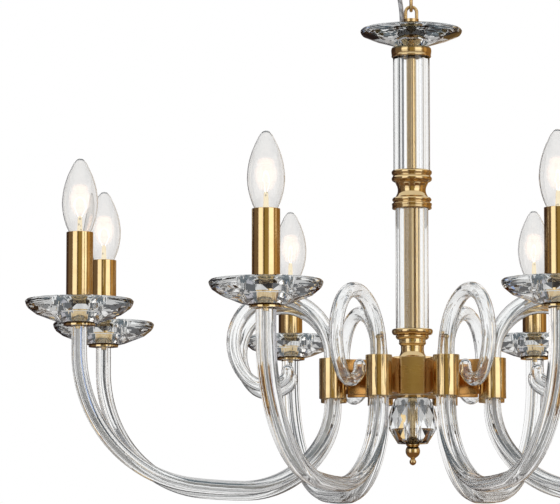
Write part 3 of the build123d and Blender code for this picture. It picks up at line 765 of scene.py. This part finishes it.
def make_lights(scene):
    world = bpy.data.worlds.new("studio")
    scene.world = world
    world.use_nodes = True
    tree = world.node_tree
    tree.nodes.clear()
    path = add(tree, "LightPath")
    seen = maths(tree, "ADD", path.outputs["Is Camera Ray"],
                 maths(tree, "ADD", path.outputs["Is Glossy Ray"],
                       path.outputs["Is Transmission Ray"]))
    white = add(tree, "Background", {"Color": rgba((1, 1, 1)), "Strength": 1.0})
    soft = add(tree, "Background", {"Color": rgba((1, 1, 1)), "Strength": 0.62})
    mix = add(tree, "MixShader", {0: maths(tree, "MINIMUM", seen, 1.0),
                                  1: soft.outputs[0], 2: white.outputs[0]})
    add(tree, "OutputWorld", {"Surface": mix.outputs[0]})
    for name, degrees, width, height, radiance in SOFTBOXES:
        data = bpy.data.lights.new(name, "AREA")
        data.shape = "RECTANGLE"
        data.size, data.size_y = width, height
        data.energy = radiance * math.pi * width * height
        data.color = (1.0, 0.99, 0.97)
        light = bpy.data.objects.new(name, data)
        scene.collection.objects.link(light)
        turn = math.radians(degrees - 90)
        light.location = (SOFTBOX_DISTANCE * math.cos(turn), SOFTBOX_DISTANCE * math.sin(turn),
                          SOFTBOX_LEVEL)
        aim = Vector((0, 0, SOFTBOX_LEVEL)) - light.location
        light.rotation_euler = aim.to_track_quat("-Z", "Y").to_euler()
        light.visible_camera = False
        light.visible_transmission = False


def make_floor(scene):
    finish, tree, shader = new_finish("pale floor")
    grained = placed(tree, moulded_group(), Grain=90.0, Depth=0.05, Roughness=0.7)
    tint = scene.chandelier_finish.floor
    feed(tree, shader, {
        "Base Color": blended(tree, grained["Shade"], [c * 0.97 for c in tint], tint),
        "Roughness": grained["Roughness"],
        "Specular IOR Level": 0.1,
    })
    half = 30.0
    level = -scene.chandelier_studio.floor_drop
    corners = [(-half, -half), (half, -half), (half, half), (-half, half)]
    mesh = bpy.data.meshes.new("floor")
    mesh.from_pydata([(x, y, level) for x, y in corners], [], [[0, 1, 2, 3]])
    mesh.materials.append(finish)
    floor = bpy.data.objects.new("floor", mesh)
    scene.collection.objects.link(floor)


# Flags that the brass and the glass see: (colour, from, to), with the two ends as compass
# turns from the camera's side in degrees.
BRASS_FLAGS = (
    ((0.062, 0.040, 0.036), -180, -104),
    ((0.21, 0.16, 0.12), -104, -58),
    ((0.17, 0.11, 0.03), -20, -8),
    ((0.40, 0.31, 0.12), -8, 21),
    ((0.42, 0.27, 0.10), 65, 80),
    ((0.72, 0.47, 0.20), 80, 99),
    ((0.34, 0.20, 0.07), 99, 180),
)
DARK, DIM, GREY = (0.05, 0.055, 0.06), (0.45, 0.44, 0.42), (0.48, 0.48, 0.52)
SLATE, BROWN = (0.07, 0.09, 0.11), (0.16, 0.12, 0.07)
BLUE, AMBER, LIT = (0.35, 0.5, 0.85), (0.95, 0.7, 0.35), (1.5, 1.45, 1.4)
GLASS_FLAGS = (
    *((DARK, mid - 5.5, mid + 5.5) for mid in (-151, -117)),
    *((DIM, mid - 4, mid + 4) for mid in (112.5, 157.5)),
    (BLUE, -120, -117.5), (AMBER, -107.5, -105), (BLUE, 105, 108), (AMBER, 162, 164),
    (SLATE, -105, -95.5), (SLATE, 92.5, 104.5), (GREY, -95, -5), (BROWN, 23, 54),
    (LIT, 56, 92),
)
# Radius, foot and top of the bands that the flags stand in.
BRASS_BAND, GLASS_BAND = (5.0, -3.2, 2.4), (5.2, -2.2, 3.0)
UPPER_BAND, LOWER_BAND, EDGE_TINT = (5.4, 2.4, 3.4), (3.2, -2.25, -1.3), (0.12, 0.13, 0.14)
# Radius, level and colour of the flags above and below.
CEILING_DISC, GROUND_DISC = (5.4, 3.4, (0.09, 0.12, 0.14)), (4.9, -2.27, (0.22, 0.13, 0.07))
SEEN_BY_BRASS, SEEN_BY_GLASS = "glossy", "transmission"


def make_card(scene, name, finish, points, faces, seen_by):
    """A studio flag that only one kind of ray sees."""
    mesh = bpy.data.meshes.new(name)
    mesh.from_pydata(points, [], faces)
    mesh.materials.append(finish)
    card = bpy.data.objects.new(name, mesh)
    scene.collection.objects.link(card)
    card.visible_camera = False
    card.visible_diffuse = False
    card.visible_shadow = False
    card.visible_volume_scatter = False
    card.visible_glossy = seen_by == SEEN_BY_BRASS
    card.visible_transmission = seen_by == SEEN_BY_GLASS


def curved_card(scene, name, finish, first, last, band, seen_by):
    """An upright curved flag between two compass turns in degrees."""
    radius, foot, top = band
    steps = max(2, math.ceil((last - first) / 6))
    points, faces = [], []
    for i in range(steps + 1):
        turn = math.radians(first + (last - first) * i / steps - 90)
        for level in (foot, top):
            points.append((radius * math.cos(turn), radius * math.sin(turn), level))
    for i in range(steps):
        faces.append([2 * i, 2 * i + 2, 2 * i + 3, 2 * i + 1])
    make_card(scene, name, finish, points, faces, seen_by)


def disc_card(scene, name, disc, seen_by):
    """A level flag above or below the object."""
    radius, level, tint = disc
    points = [(x, y, level) for x, y in circle(radius, 32)]
    finish = plain_light(name.replace("_", " "), tint)
    make_card(scene, name, finish, points, [list(range(32))], seen_by)


def make_flags(scene):
    """Dark and coloured flags all round: the wide ones band the brass, and the narrow ones line
    the glass."""
    for kind, flags, band, seen_by in (
        ("brass", BRASS_FLAGS, BRASS_BAND, SEEN_BY_BRASS),
        ("glass", GLASS_FLAGS, GLASS_BAND, SEEN_BY_GLASS),
    ):
        for number, (tint, first, last) in enumerate(flags):
            finish = plain_light(f"{kind} flag {number}", tint)
            curved_card(scene, f"{kind}_flag_{number}", finish, first, last, band, seen_by)
    edge = plain_light("edge flag", EDGE_TINT)
    curved_card(scene, "upper_flag", edge, 0, 360, UPPER_BAND, SEEN_BY_GLASS)
    curved_card(scene, "lower_flag", edge, 0, 360, LOWER_BAND, SEEN_BY_GLASS)
    disc_card(scene, "ceiling_flag", CEILING_DISC, SEEN_BY_GLASS)
    disc_card(scene, "ground_flag", GROUND_DISC, SEEN_BY_BRASS)


class FlexOperator(bpy.types.Operator):
    """Supply flex from the ceiling rose, beside the chain, into the column"""

    bl_idname = "chandelier.flex"
    bl_label = "Supply flex"

    def execute(self, context):
        make_flex(context.scene)
        return {"FINISHED"}


# Route of the flex from the gland to the loop nut: x, y and depth under the ceiling.
FLEX_ROUTE = (
    (-0.018, 0.006, -0.032),
    (-0.018, 0.006, -0.047),
    (-0.0156, 0.0069, -0.065),
    (-0.0159, 0.0076, -0.084),
    (-0.014, 0.0071, -0.102),
    (-0.0142, 0.0079, -0.12),
    (-0.0118, 0.007, -0.137),
    (-0.0092, 0.0051, -0.1555),
    (-0.0092, 0.0051, -0.1705),
)


def flex_line():
    data = bpy.data.curves.new("flex line", "CURVE")
    data.dimensions = "3D"
    data.resolution_u = 24
    spline = data.splines.new("NURBS")
    spline.points.add(len(FLEX_ROUTE) - 1)
    for point, at in zip(spline.points, FLEX_ROUTE):
        point.co = (*at, 1.0)
    spline.order_u = 3
    spline.use_endpoint_u = True
    curve = bpy.data.objects.new("flex line", data)
    bpy.context.scene.collection.objects.link(curve)
    bpy.context.view_layer.update()
    mesh = bpy.data.meshes.new_from_object(curve)
    line = [vertex.co.copy() for vertex in mesh.vertices]
    bpy.data.objects.remove(curve)
    bpy.data.meshes.remove(mesh)
    return line


def cut_at(line, level):
    """Splits a falling line at a level; both halves get the point there."""
    for i, (a, b) in enumerate(zip(line, line[1:])):
        if a.z >= level > b.z:
            at = a.lerp(b, (a.z - level) / (a.z - b.z))
            return [*line[: i + 1], at], [at, *line[i + 1:]]
    raise ValueError(f"the flex doesn't cross {level}")


def tube_along(name, line, radius, around=20, started=0.0):
    """A round tube along a line, and how far along the whole run it ends."""
    rings, places, gone = [], [], started
    for i, point in enumerate(line):
        before, after = line[max(i - 1, 0)], line[min(i + 1, len(line) - 1)]
        way = (after - before).normalized()
        side = way.cross(Vector((0, 1, 0))).normalized()
        up = way.cross(side)
        if i:
            gone += (point - line[i - 1]).length
        rings.append([point + side * u + up * v for u, v in circle(radius, around)])
        places.append(gone)
    rings = [[line[0]], *rings, [line[-1]]]
    places = [places[0], *places, places[-1]]
    return skin(name, rings, lengthwise=places), gone


def make_flex(scene):
    radius = scene.chandelier_flex.radius
    finish = flex_finish()
    joints = {joint["child"]: joint for joint in frame["joints"] if joint["type"] == "hinge"}
    chain = ("ceiling_rose", "top_link", "middle_link", "bottom_link", BODY)
    pivots = [joints[body]["pos_m"][2] for body in chain[1:]]
    rest, started = flex_line(), 0.0
    for number, (above, below) in enumerate(zip(chain, chain[1:])):
        if number < len(pivots) - 1:
            part, rest = cut_at(rest, (pivots[number] + pivots[number + 1]) / 2)
        else:
            part = rest
        mesh, started = tube_along(f"supply_flex_{number + 1}", part, radius, started=started)
        mesh.materials.append(finish)
        piece = bpy.data.objects.new(f"supply_flex_{number + 1}", mesh)
        scene.collection.objects.link(piece)
        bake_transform(piece)
        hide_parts("supply_cord")


class ArmsOperator(bpy.types.Operator):
    """Ribbed glass arms, from under each dish down and up into the clamps"""

    bl_idname = "chandelier.arms"
    bl_label = "Glass arms"

    def execute(self, context):
        arm = context.scene.chandelier_arm
        top, clamp_low = high("arm_1"), low("arm_clamps")
        rise_turn = math.pi / 2 - arm.foot_turn
        last_turn = math.pi / 2 - arm.hub_bend_turn
        rise_radius = (
            arm.candle_radius - arm.clamp_radius
            - arm.foot_radius * math.cos(rise_turn)
            - arm.hub_bend_radius * math.sin(arm.hub_bend_turn)
            - arm.clamp_bend_radius * (1 - math.sin(arm.hub_bend_turn))
        ) / (1 - math.cos(rise_turn))
        moves = [
            arm.riser,
            (rise_radius, -rise_turn),
            (arm.foot_radius, -arm.foot_turn),
            (arm.hub_bend_radius, -arm.hub_bend_turn),
            (arm.clamp_bend_radius, -last_turn),
            arm.neck + arm.grip,
        ]
        line = bent_line((arm.candle_radius, top), -math.pi / 2, moves)
        if abs(line[-1][0].z - clamp_low - arm.grip) > 0.001:
            raise RuntimeError("the arm doesn't end in its clamp")
        section = lobed(arm.half_depth, arm.half_width, arm.lobes, arm.lobe_rise)
        bore = circle(arm.bore, len(section))
        rings = [ring_at(point, heading, section) for point, heading, _ in line]
        rings += [ring_at(point, heading, bore) for point, heading, _ in reversed(line)]
        places = [gone for *_, gone in line]
        mesh = skin("arm", rings, closed=True, crease=60.0, lengthwise=places + places[::-1])
        set_round("glass_arm", mesh, glass_finish("clear glass"), node="arm_{}")
        wire = context.scene.chandelier_finish.wire
        finish_nodes(moulded_finish("core wire", wire, metallic=0.6, roughness=0.3), "arm_wires")
        return {"FINISHED"}


# Bends of a scroll from its foot on: radius in metres, turn in degrees.
SCROLL_BENDS = (
    (0.058, 90.0), (0.046, 90.0), (0.048, 45.0), (0.026, 45.0), (0.036, 35.0), (0.009, 65.0),
)


class ScrollsOperator(bpy.types.Operator):
    """Tapered glass scrolls that stand in the clamps, and their pins"""

    bl_idname = "chandelier.scrolls"
    bl_label = "Glass scrolls"

    def execute(self, context):
        scroll = context.scene.chandelier_scroll
        radius = context.scene.chandelier_arm.clamp_radius
        moves = [scroll.riser, *((r, -math.radians(turn)) for r, turn in SCROLL_BENDS)]
        brass = context.scene.chandelier_brass
        foot = low("arm_clamps") + brass.web_height + brass.web_thickness
        line = bent_line((radius, foot), math.pi / 2, moves, degrees=4.0, run=0.004)
        whole = line[-1][2]
        unit = lobed(1.0, 1.0, scroll.lobes, scroll.lobe_rise / scroll.base_radius, steps=6)
        plain = circle(1.0, len(unit))

        def at_share(section, start, end, share):
            size = start + (end - start) * share
            return [(u * size, v * size) for u, v in section]

        outer, inner = [], []
        for point, heading, gone in line:
            share = gone / whole
            outer.append(ring_at(point, heading, at_share(
                unit, scroll.base_radius, scroll.tip_radius, share)))
            inner.append(ring_at(point, heading, at_share(
                plain, scroll.base_radius - scroll.wall, scroll.tip_radius - scroll.wall, share)))
        end, heading, _ = line[-1]
        way = Vector((math.cos(heading), 0, math.sin(heading)))

        def dome(section, size):
            rings = []
            for k in range(1, 7):
                a = math.pi / 2 * k / 7
                ring = at_share(section, 0, size * math.cos(a), 1.0)
                rings.append(ring_at(end + way * (size * math.sin(a)), heading, ring))
            return [*rings, [end + way * size]]

        outside = outer + dome(unit, scroll.tip_radius)
        inside = inner + dome(plain, scroll.tip_radius - scroll.wall)
        mesh = skin("scroll", outside + inside[::-1], closed=True, crease=60.0)
        set_round("glass_scroll", mesh, glass_finish("clear glass"), node="scroll_{}")
        ball, pin = scroll.pin_ball, scroll.pin_radius
        neck = scroll.pin_height - ball - math.sqrt(ball * ball - pin * pin)
        outline = [(0.0, 0.0), (pin, 0.0), (pin, neck)]
        for k in range(9):
            a = math.acos(-math.sqrt(1 - (pin / ball) ** 2)) * (1 - k / 8)
            outline.append((ball * math.sin(a), scroll.pin_height - ball + ball * math.cos(a)))
        mesh = turned("pin", outline, level=low("scroll_pins"), around=24, edge=0.0, closed=False)
        set_round("scroll_pin", mesh, brass_finish(), radius, "scroll_pins")
        return {"FINISHED"}


class DishesOperator(bpy.types.Operator):
    """Cut crystal dishes under the candles and on the column"""

    bl_idname = "chandelier.dishes"
    bl_label = "Crystal dishes"

    def execute(self, context):
        dishes = [f"dish_{k}" for k in range(1, arm_count + 1)]
        finish_nodes(glass_finish("cut crystal"), "top_dish", *dishes)
        return {"FINISHED"}


class BallOperator(bpy.types.Operator):
    """Cut crystal ball under the hub"""

    bl_idname = "chandelier.ball"
    bl_label = "Crystal ball"

    def execute(self, context):
        finish_nodes(glass_finish("cut crystal"), "crystal_ball")
        return {"FINISHED"}


class ColumnGlassOperator(bpy.types.Operator):
    """Plain lower and fluted upper glass tubes of the column"""

    bl_idname = "chandelier.column_glass"
    bl_label = "Column glass"

    def execute(self, context):
        size = context.scene.chandelier_column
        radius, foot, top = reach("lower_glass"), low("lower_glass"), high("lower_glass")
        inner = radius - size.lower_wall
        outline = [(inner, foot), (radius, foot), (radius, top), (inner, top)]
        set_piece("lower_glass_tube", turned("lower_glass", outline, around=96),
                  glass_finish("tube glass"), replaces=["lower_glass"])
        radius, foot, top = size.upper_radius, low("upper_glass"), high("upper_glass")
        outside = lobed(radius, radius, size.flutes, size.flute_depth)
        bore = circle(size.upper_bore, len(outside))
        rings = [
            [Vector((x, y, level)) for x, y in section]
            for section, level in ((outside, foot), (outside, top), (bore, top), (bore, foot))
        ]
        mesh = skin("upper_glass", rings, closed=True, crease=60.0)
        set_piece("upper_glass_tube", mesh, glass_finish("tube glass"), replaces=["upper_glass"])
        return {"FINISHED"}


# Half outline of the collar between the two glasses; a third number bows the edge outwards.
COLLAR = (
    (0.0047, 0.003), (0.0168, 0.003), (0.0168, 0.0), (0.0192, 0.0), (0.02, 0.0012, 0.0002),
    (0.0196, 0.003), (0.02, 0.0044, 0.0002), (0.0199, 0.0056, 0.0002), (0.0181, 0.0066),
    (0.0183, 0.0076), (0.0194, 0.0104, 0.0008), (0.0174, 0.0118, 0.0003), (0.0158, 0.0134, -0.0003),
    (0.016, 0.0252, -0.0018), (0.0176, 0.0274, -0.0004), (0.0196, 0.0286), (0.0197, 0.0322, 0.0006),
    (0.0186, 0.0336), (0.0187, 0.0344), (0.0198, 0.0354, 0.0003), (0.02, 0.0382, 0.0004),
    (0.0192, 0.039), (0.0189, 0.039), (0.0189, 0.036), (0.0047, 0.036),
)


def hub_outline(size):
    """The hub from above: slightly bowed flats between the arms, with a rounded hollow where
    each flat meets the bridge of a clamp."""
    half_turn = math.pi / arm_count
    flat, fillet, half = size.hub_flat, size.hub_fillet, size.bridge_thickness / 2
    across, steps = half + fillet, 8
    along = (flat + fillet - across * math.sin(half_turn)) / math.cos(half_turn)
    side = [(along + fillet, half)]
    for i in range(steps + 1):
        a = math.radians(270) - (math.pi / 2 - half_turn) * i / steps
        side.append((along + fillet * math.cos(a), across + fillet * math.sin(a)))
    corner = [(u, -v) for u, v in reversed(side)] + side
    points = []
    for turn in sorted(arm_angles):
        for u, v in corner:
            points.append((u * math.cos(turn) - v * math.sin(turn),
                           u * math.sin(turn) + v * math.cos(turn)))
        x, y = points[-1]
        middle_way = turn + half_turn
        out = Vector((math.cos(middle_way), math.sin(middle_way)))
        way = Vector((-out.y, out.x))
        start = Vector((x, y)).dot(way)
        for i in range(1, steps):
            share = 2 * i / steps - 1
            at = out * (flat + size.hub_bow * (1 - share * share)) - way * start * share
            points.append((at.x, at.y))
    return points


class ColumnBrassOperator(bpy.types.Operator):
    """Turned brass of the column, its tubes, the hub and the finial"""

    bl_idname = "chandelier.column_brass"
    bl_label = "Column brass"

    def execute(self, context):
        turned_brass = brass_finish()
        finish_nodes(turned_brass, "finial", "hub_base", "hub_neck", "column_cap", "loop_nut",
                     "centre_tube", "stem_sleeve")
        set_piece("column_collar", turned("collar", COLLAR, level=low("mid_collar"), around=96),
                  turned_brass, replaces=["mid_collar"])
        size = context.scene.chandelier_brass
        foot, top, edge = low("hub_body"), high("hub_body"), size.edge
        outline = hub_outline(size)

        def ring(level, inset=0.0):
            share = 1 - inset / size.hub_flat
            return [Vector((x * share, y * share, level)) for x, y in outline]

        def hole(level):
            turns = [math.atan2(y, x) for x, y in outline]
            return [Vector((size.tube_bore * math.cos(a), size.tube_bore * math.sin(a), level))
                    for a in turns]

        rings = [hole(foot), ring(foot, edge), ring(foot + edge), ring(top - edge),
                 ring(top, edge), hole(top)]
        mesh = skin("hub", rings, closed=True, crease=25.0)
        satin = brass_finish("satin brass", depth=0.05, tarnish=0.25, roughness=0.22)
        piece = set_piece("hub_block", mesh, satin, replaces=["hub_body"])
        piece.modifiers.new("flat faces", "WEIGHTED_NORMAL").keep_sharp = True
        return {"FINISHED"}


class ClampsOperator(bpy.types.Operator):
    """Split clamps of the arms with the bridges that tie them to the hub"""

    bl_idname = "chandelier.clamps"
    bl_label = "Arm clamps"

    def execute(self, context):
        size = context.scene.chandelier_brass
        level, radius = low("arm_clamps"), context.scene.chandelier_arm.clamp_radius
        web, web_top = size.web_height, size.web_height + size.web_thickness
        outline = [
            (size.clamp_bore, 0), (size.clamp_outer, 0), (size.clamp_outer, size.clamp_height),
            (size.clamp_bore, size.clamp_height), (size.clamp_bore, web_top),
            (size.web_hole, web_top), (size.web_hole, web), (size.clamp_bore, web),
        ]
        finish = brass_finish()
        mesh = turned("clamp", outline, level=level, edge=size.edge)
        set_round("arm_clamp", mesh, finish, radius, "arm_clamps")
        foot = low("hub_body") + size.bridge_inset
        top = foot + size.bridge_height
        slot, arch = radius - size.clamp_outer, 5
        near, far = size.hub_flat - size.bridge_sunk, slot + size.bridge_lap
        rim = [(near, foot), (slot - size.slot_width, foot)]
        for i in range(arch + 1):
            a = math.pi * (1 - i / arch)
            half = size.slot_width / 2
            rim.append((slot - half + half * math.cos(a),
                        foot + size.slot_height - half + half * math.sin(a)))
        rim += [(far, foot + size.slot_height - size.slot_width / 2), (far, top), (near, top)]
        half, ease = size.bridge_thickness / 2, size.edge
        work = bmesh.new()
        corners = [work.verts.new((x, -half, z)) for x, z in rim]
        face = work.faces.new(corners)
        grown = bmesh.ops.extrude_face_region(work, geom=[face])
        moved = [v for v in grown["geom"] if isinstance(v, bmesh.types.BMVert)]
        bmesh.ops.translate(work, verts=moved, vec=(0, 2 * half, 0))
        bmesh.ops.recalc_face_normals(work, faces=work.faces)
        long_edges = [e for e in work.edges if e.calc_face_angle(0) > math.radians(60)]
        bmesh.ops.bevel(work, geom=long_edges, offset=ease, segments=2, affect="EDGES",
                        profile=0.5, clamp_overlap=True)
        mesh = bpy.data.meshes.new("bridge")
        work.to_mesh(mesh)
        work.free()
        mesh.shade_smooth()
        mesh.set_sharp_from_angle(angle=math.radians(30))
        # Painted shade: the bridges get a darker copy of the brass, for their shadowed sides.
        amber = brass_finish("amber brass", depth=0.05, tarnish=0.2, roughness=0.12,
                             base=tuple(context.scene.chandelier_finish.amber))
        set_round("clamp_bridge", mesh, amber, node="arm_clamps")
        return {"FINISHED"}


class CandlesOperator(bpy.types.Operator):
    """Candle sleeves, their turned cups and the lamp holders inside"""

    bl_idname = "chandelier.candles"
    bl_label = "Candle sleeves"

    def execute(self, context):
        size = context.scene.chandelier_brass
        foot, top = low("candle_sleeves"), high("candle_sleeves")
        inner = size.sleeve_radius - size.sleeve_wall
        outline = [(inner, 0), (size.sleeve_radius, 0), (size.sleeve_radius, top - foot),
                   (inner, top - foot)]
        mesh = turned("sleeve", outline, level=foot, around=96, edge=size.edge)
        set_round("candle_sleeve", mesh, brass_finish(), context.scene.chandelier_arm.candle_radius,
                  "candle_sleeves")
        finish_nodes(brass_finish(), "candle_cups")
        holder = context.scene.chandelier_finish.holder
        moulding = moulded_finish("holder moulding", holder, metallic=0.0, roughness=0.55)
        finish_nodes(moulding, "lamp_holders")
        return {"FINISHED"}


class LampsOperator(bpy.types.Operator):
    """Clear lit candle lamps with their stems, filaments and screw caps"""

    bl_idname = "chandelier.lamps"
    bl_label = "Candle lamps"

    def execute(self, context):
        lamp = context.scene.chandelier_lamp
        radius = context.scene.chandelier_arm.candle_radius
        level = high("candle_sleeves")

        def envelope(inset):
            """Half outline of the glass, moved inwards; a third number bows the edge outwards."""
            dome, rise = lamp.radius * 0.24 - inset / 2, lamp.height * 0.03 - inset / 2
            ball = (dome * dome + rise * rise) / (2 * rise)
            bow = ball - math.sqrt(ball * ball - (dome * dome + rise * rise) / 4)
            return [
                (lamp.neck - inset, -lamp.neck_depth),
                (lamp.neck - inset, -lamp.neck_depth + 0.002),
                (lamp.mouth - inset, 0.0),
                (lamp.radius - inset, lamp.widest, 0.0017),
                (lamp.radius * 0.47 - inset, lamp.height * 0.88, 0.0021),
                (dome, lamp.height - inset - rise, 0.0004),
                (0.0, lamp.height - inset, bow),
            ]

        def side(inset):
            line = bowed(envelope(inset), steps=16)
            return lathe_rings([(r, z) for r, z, _ in line], level, around=64)

        mesh = skin("lamp_glass", side(0.0) + side(lamp.wall)[::-1], closed=True, crease=70.0)
        set_round("lamp_glass", mesh, glass_finish("lamp glass"), radius, "bulb_{}",
                  lamp=True)
        valley = lamp.cap_radius - lamp.thread_depth
        cap = [(0.0, -0.004), (0.003, -0.004), (0.0042, -0.001), (valley, 0.0)]
        first_thread = 0.002
        for turn in range(lamp.threads):
            z = first_thread + turn * lamp.thread_pitch
            cap += [(valley, z), (lamp.cap_radius, z + lamp.thread_depth),
                    (valley, z + lamp.thread_width)]
        cap += [(lamp.cap_radius, lamp.cap_length - 0.001), (lamp.cap_radius, lamp.cap_length),
                (0.0, lamp.cap_length)]
        mesh = turned("lamp_cap", cap, level=level - lamp.neck_depth - lamp.cap_length,
                      closed=False, crease=50.0)
        steel = context.scene.chandelier_finish.steel
        plated = moulded_finish("plated steel", steel, metallic=1.0, roughness=0.3)
        set_round("lamp_cap", mesh, plated, radius, "bulb_{}", lamp=True)
        stem = [(0.0, -0.008), (0.0046, -0.008), (0.0036, -0.002), (0.0024, 0.003),
                (0.0021, 0.013), (0.0015, 0.0155), (0.0, 0.016)]
        mesh = turned("lamp_stem", stem, level=level, around=32, closed=False)
        set_round("lamp_stem", mesh, stem_finish(), radius, lamp=True)
        self.filament(context, level, radius)
        return {"FINISHED"}

    def filament(self, context, level, radius):
        """A coiled filament hung between two leads, and the light round it."""
        turns, coil, wire, around = 14, 0.0009, 0.00022, 6
        half_span, foot, rise = 0.006, 0.024, 0.010
        lead_place, lead_foot = 0.0016, 0.015
        steps = turns * 12
        line = []
        for i in range(steps + 1):
            share = i / steps
            a = math.pi * share
            centre = Vector((-half_span * math.cos(a), 0, foot + rise * math.sin(a)))
            way = Vector((math.sin(a), 0, math.cos(a))).normalized()
            side = Vector((0, 1, 0))
            up = way.cross(side)
            turn = 2 * math.pi * turns * share
            line.append(centre + side * (coil * math.cos(turn)) + up * (coil * math.sin(turn)))
        line = [Vector((-lead_place, 0, lead_foot)), *line, Vector((lead_place, 0, lead_foot))]
        for point in line:
            point.z += level
        mesh, _ = tube_along("filament", line, wire, around)
        set_round("lamp_filament", mesh, glow_finish("filament", strength=2.5), radius, lamp=True)
        haze = [(0.0, 0.0), (0.0085, 0.006, 0.0022), (0.0108, 0.015, 0.001),
                (0.0085, 0.024, 0.0014), (0.0, 0.030, 0.004)]
        level += context.scene.chandelier_lamp.haze_foot
        mesh = turned("lamp_haze", haze, level=level, around=48, closed=False, crease=80.0)
        haze_light = glow_finish("haze of light", strength=1.3, soft=True)
        set_round("lamp_haze", mesh, haze_light, radius, lamp=True)


class HangingOperator(bpy.types.Operator):
    """Chain, loops, ceiling rose, bracket and gland"""

    bl_idname = "chandelier.hanging"
    bl_label = "Chain and ceiling rose"

    def execute(self, context):
        chain = brass_finish("chain brass", depth=0.08, tarnish=0.6, roughness=0.18)
        finish_nodes(chain, "hang_loop", "chain_link_1", "chain_link_2", "chain_link_3",
                     "ceiling_loop")
        finish_nodes(brass_finish(), "ceiling_canopy")
        colours = context.scene.chandelier_finish
        plated = moulded_finish("plated steel", colours.steel, metallic=1.0, roughness=0.3)
        finish_nodes(plated, "ceiling_bracket")
        milky = moulded_finish("gland moulding", colours.gland, metallic=0.0, roughness=0.3,
                               transmission=0.4)
        finish_nodes(milky, "cord_gland")
        return {"FINISHED"}


OPERATORS = (
    StageOperator,
    FlexOperator,
    HangingOperator,
    ColumnBrassOperator,
    ColumnGlassOperator,
    BallOperator,
    ClampsOperator,
    ArmsOperator,
    ScrollsOperator,
    DishesOperator,
    CandlesOperator,
    LampsOperator,
)


class ChandelierPanel(bpy.types.Panel):
    """Lists the pieces of the chandelier"""

    bl_idname = "VIEW3D_PT_chandelier"
    bl_label = "Chandelier"
    bl_space_type = "VIEW_3D"
    bl_region_type = "UI"
    bl_category = "Chandelier"

    def draw(self, context):
        for operator in OPERATORS:
            self.layout.operator(operator.bl_idname, text=operator.bl_label)


def register():
    for group in SIZE_GROUPS.values():
        bpy.utils.register_class(group)
    for name, group in SIZE_GROUPS.items():
        setattr(bpy.types.Scene, name, PointerProperty(type=group))
    for operator in OPERATORS:
        bpy.utils.register_class(operator)
    bpy.utils.register_class(ChandelierPanel)


def unregister():
    bpy.utils.unregister_class(ChandelierPanel)
    for operator in reversed(OPERATORS):
        bpy.utils.unregister_class(operator)
    for name, group in SIZE_GROUPS.items():
        delattr(bpy.types.Scene, name)
        bpy.utils.unregister_class(group)


def main():
    register()
    bpy.context.scene.view_settings.view_transform = "Standard"
    bpy.ops.chandelier.stage()
    bpy.ops.chandelier.flex()
    bpy.ops.chandelier.hanging()
    bpy.ops.chandelier.column_brass()
    bpy.ops.chandelier.column_glass()
    bpy.ops.chandelier.ball()
    bpy.ops.chandelier.clamps()
    bpy.ops.chandelier.arms()
    bpy.ops.chandelier.scrolls()
    bpy.ops.chandelier.dishes()
    bpy.ops.chandelier.candles()
    bpy.ops.chandelier.lamps()
    bpy.context.view_layer.update()


if __name__ == "__main__":
    main()
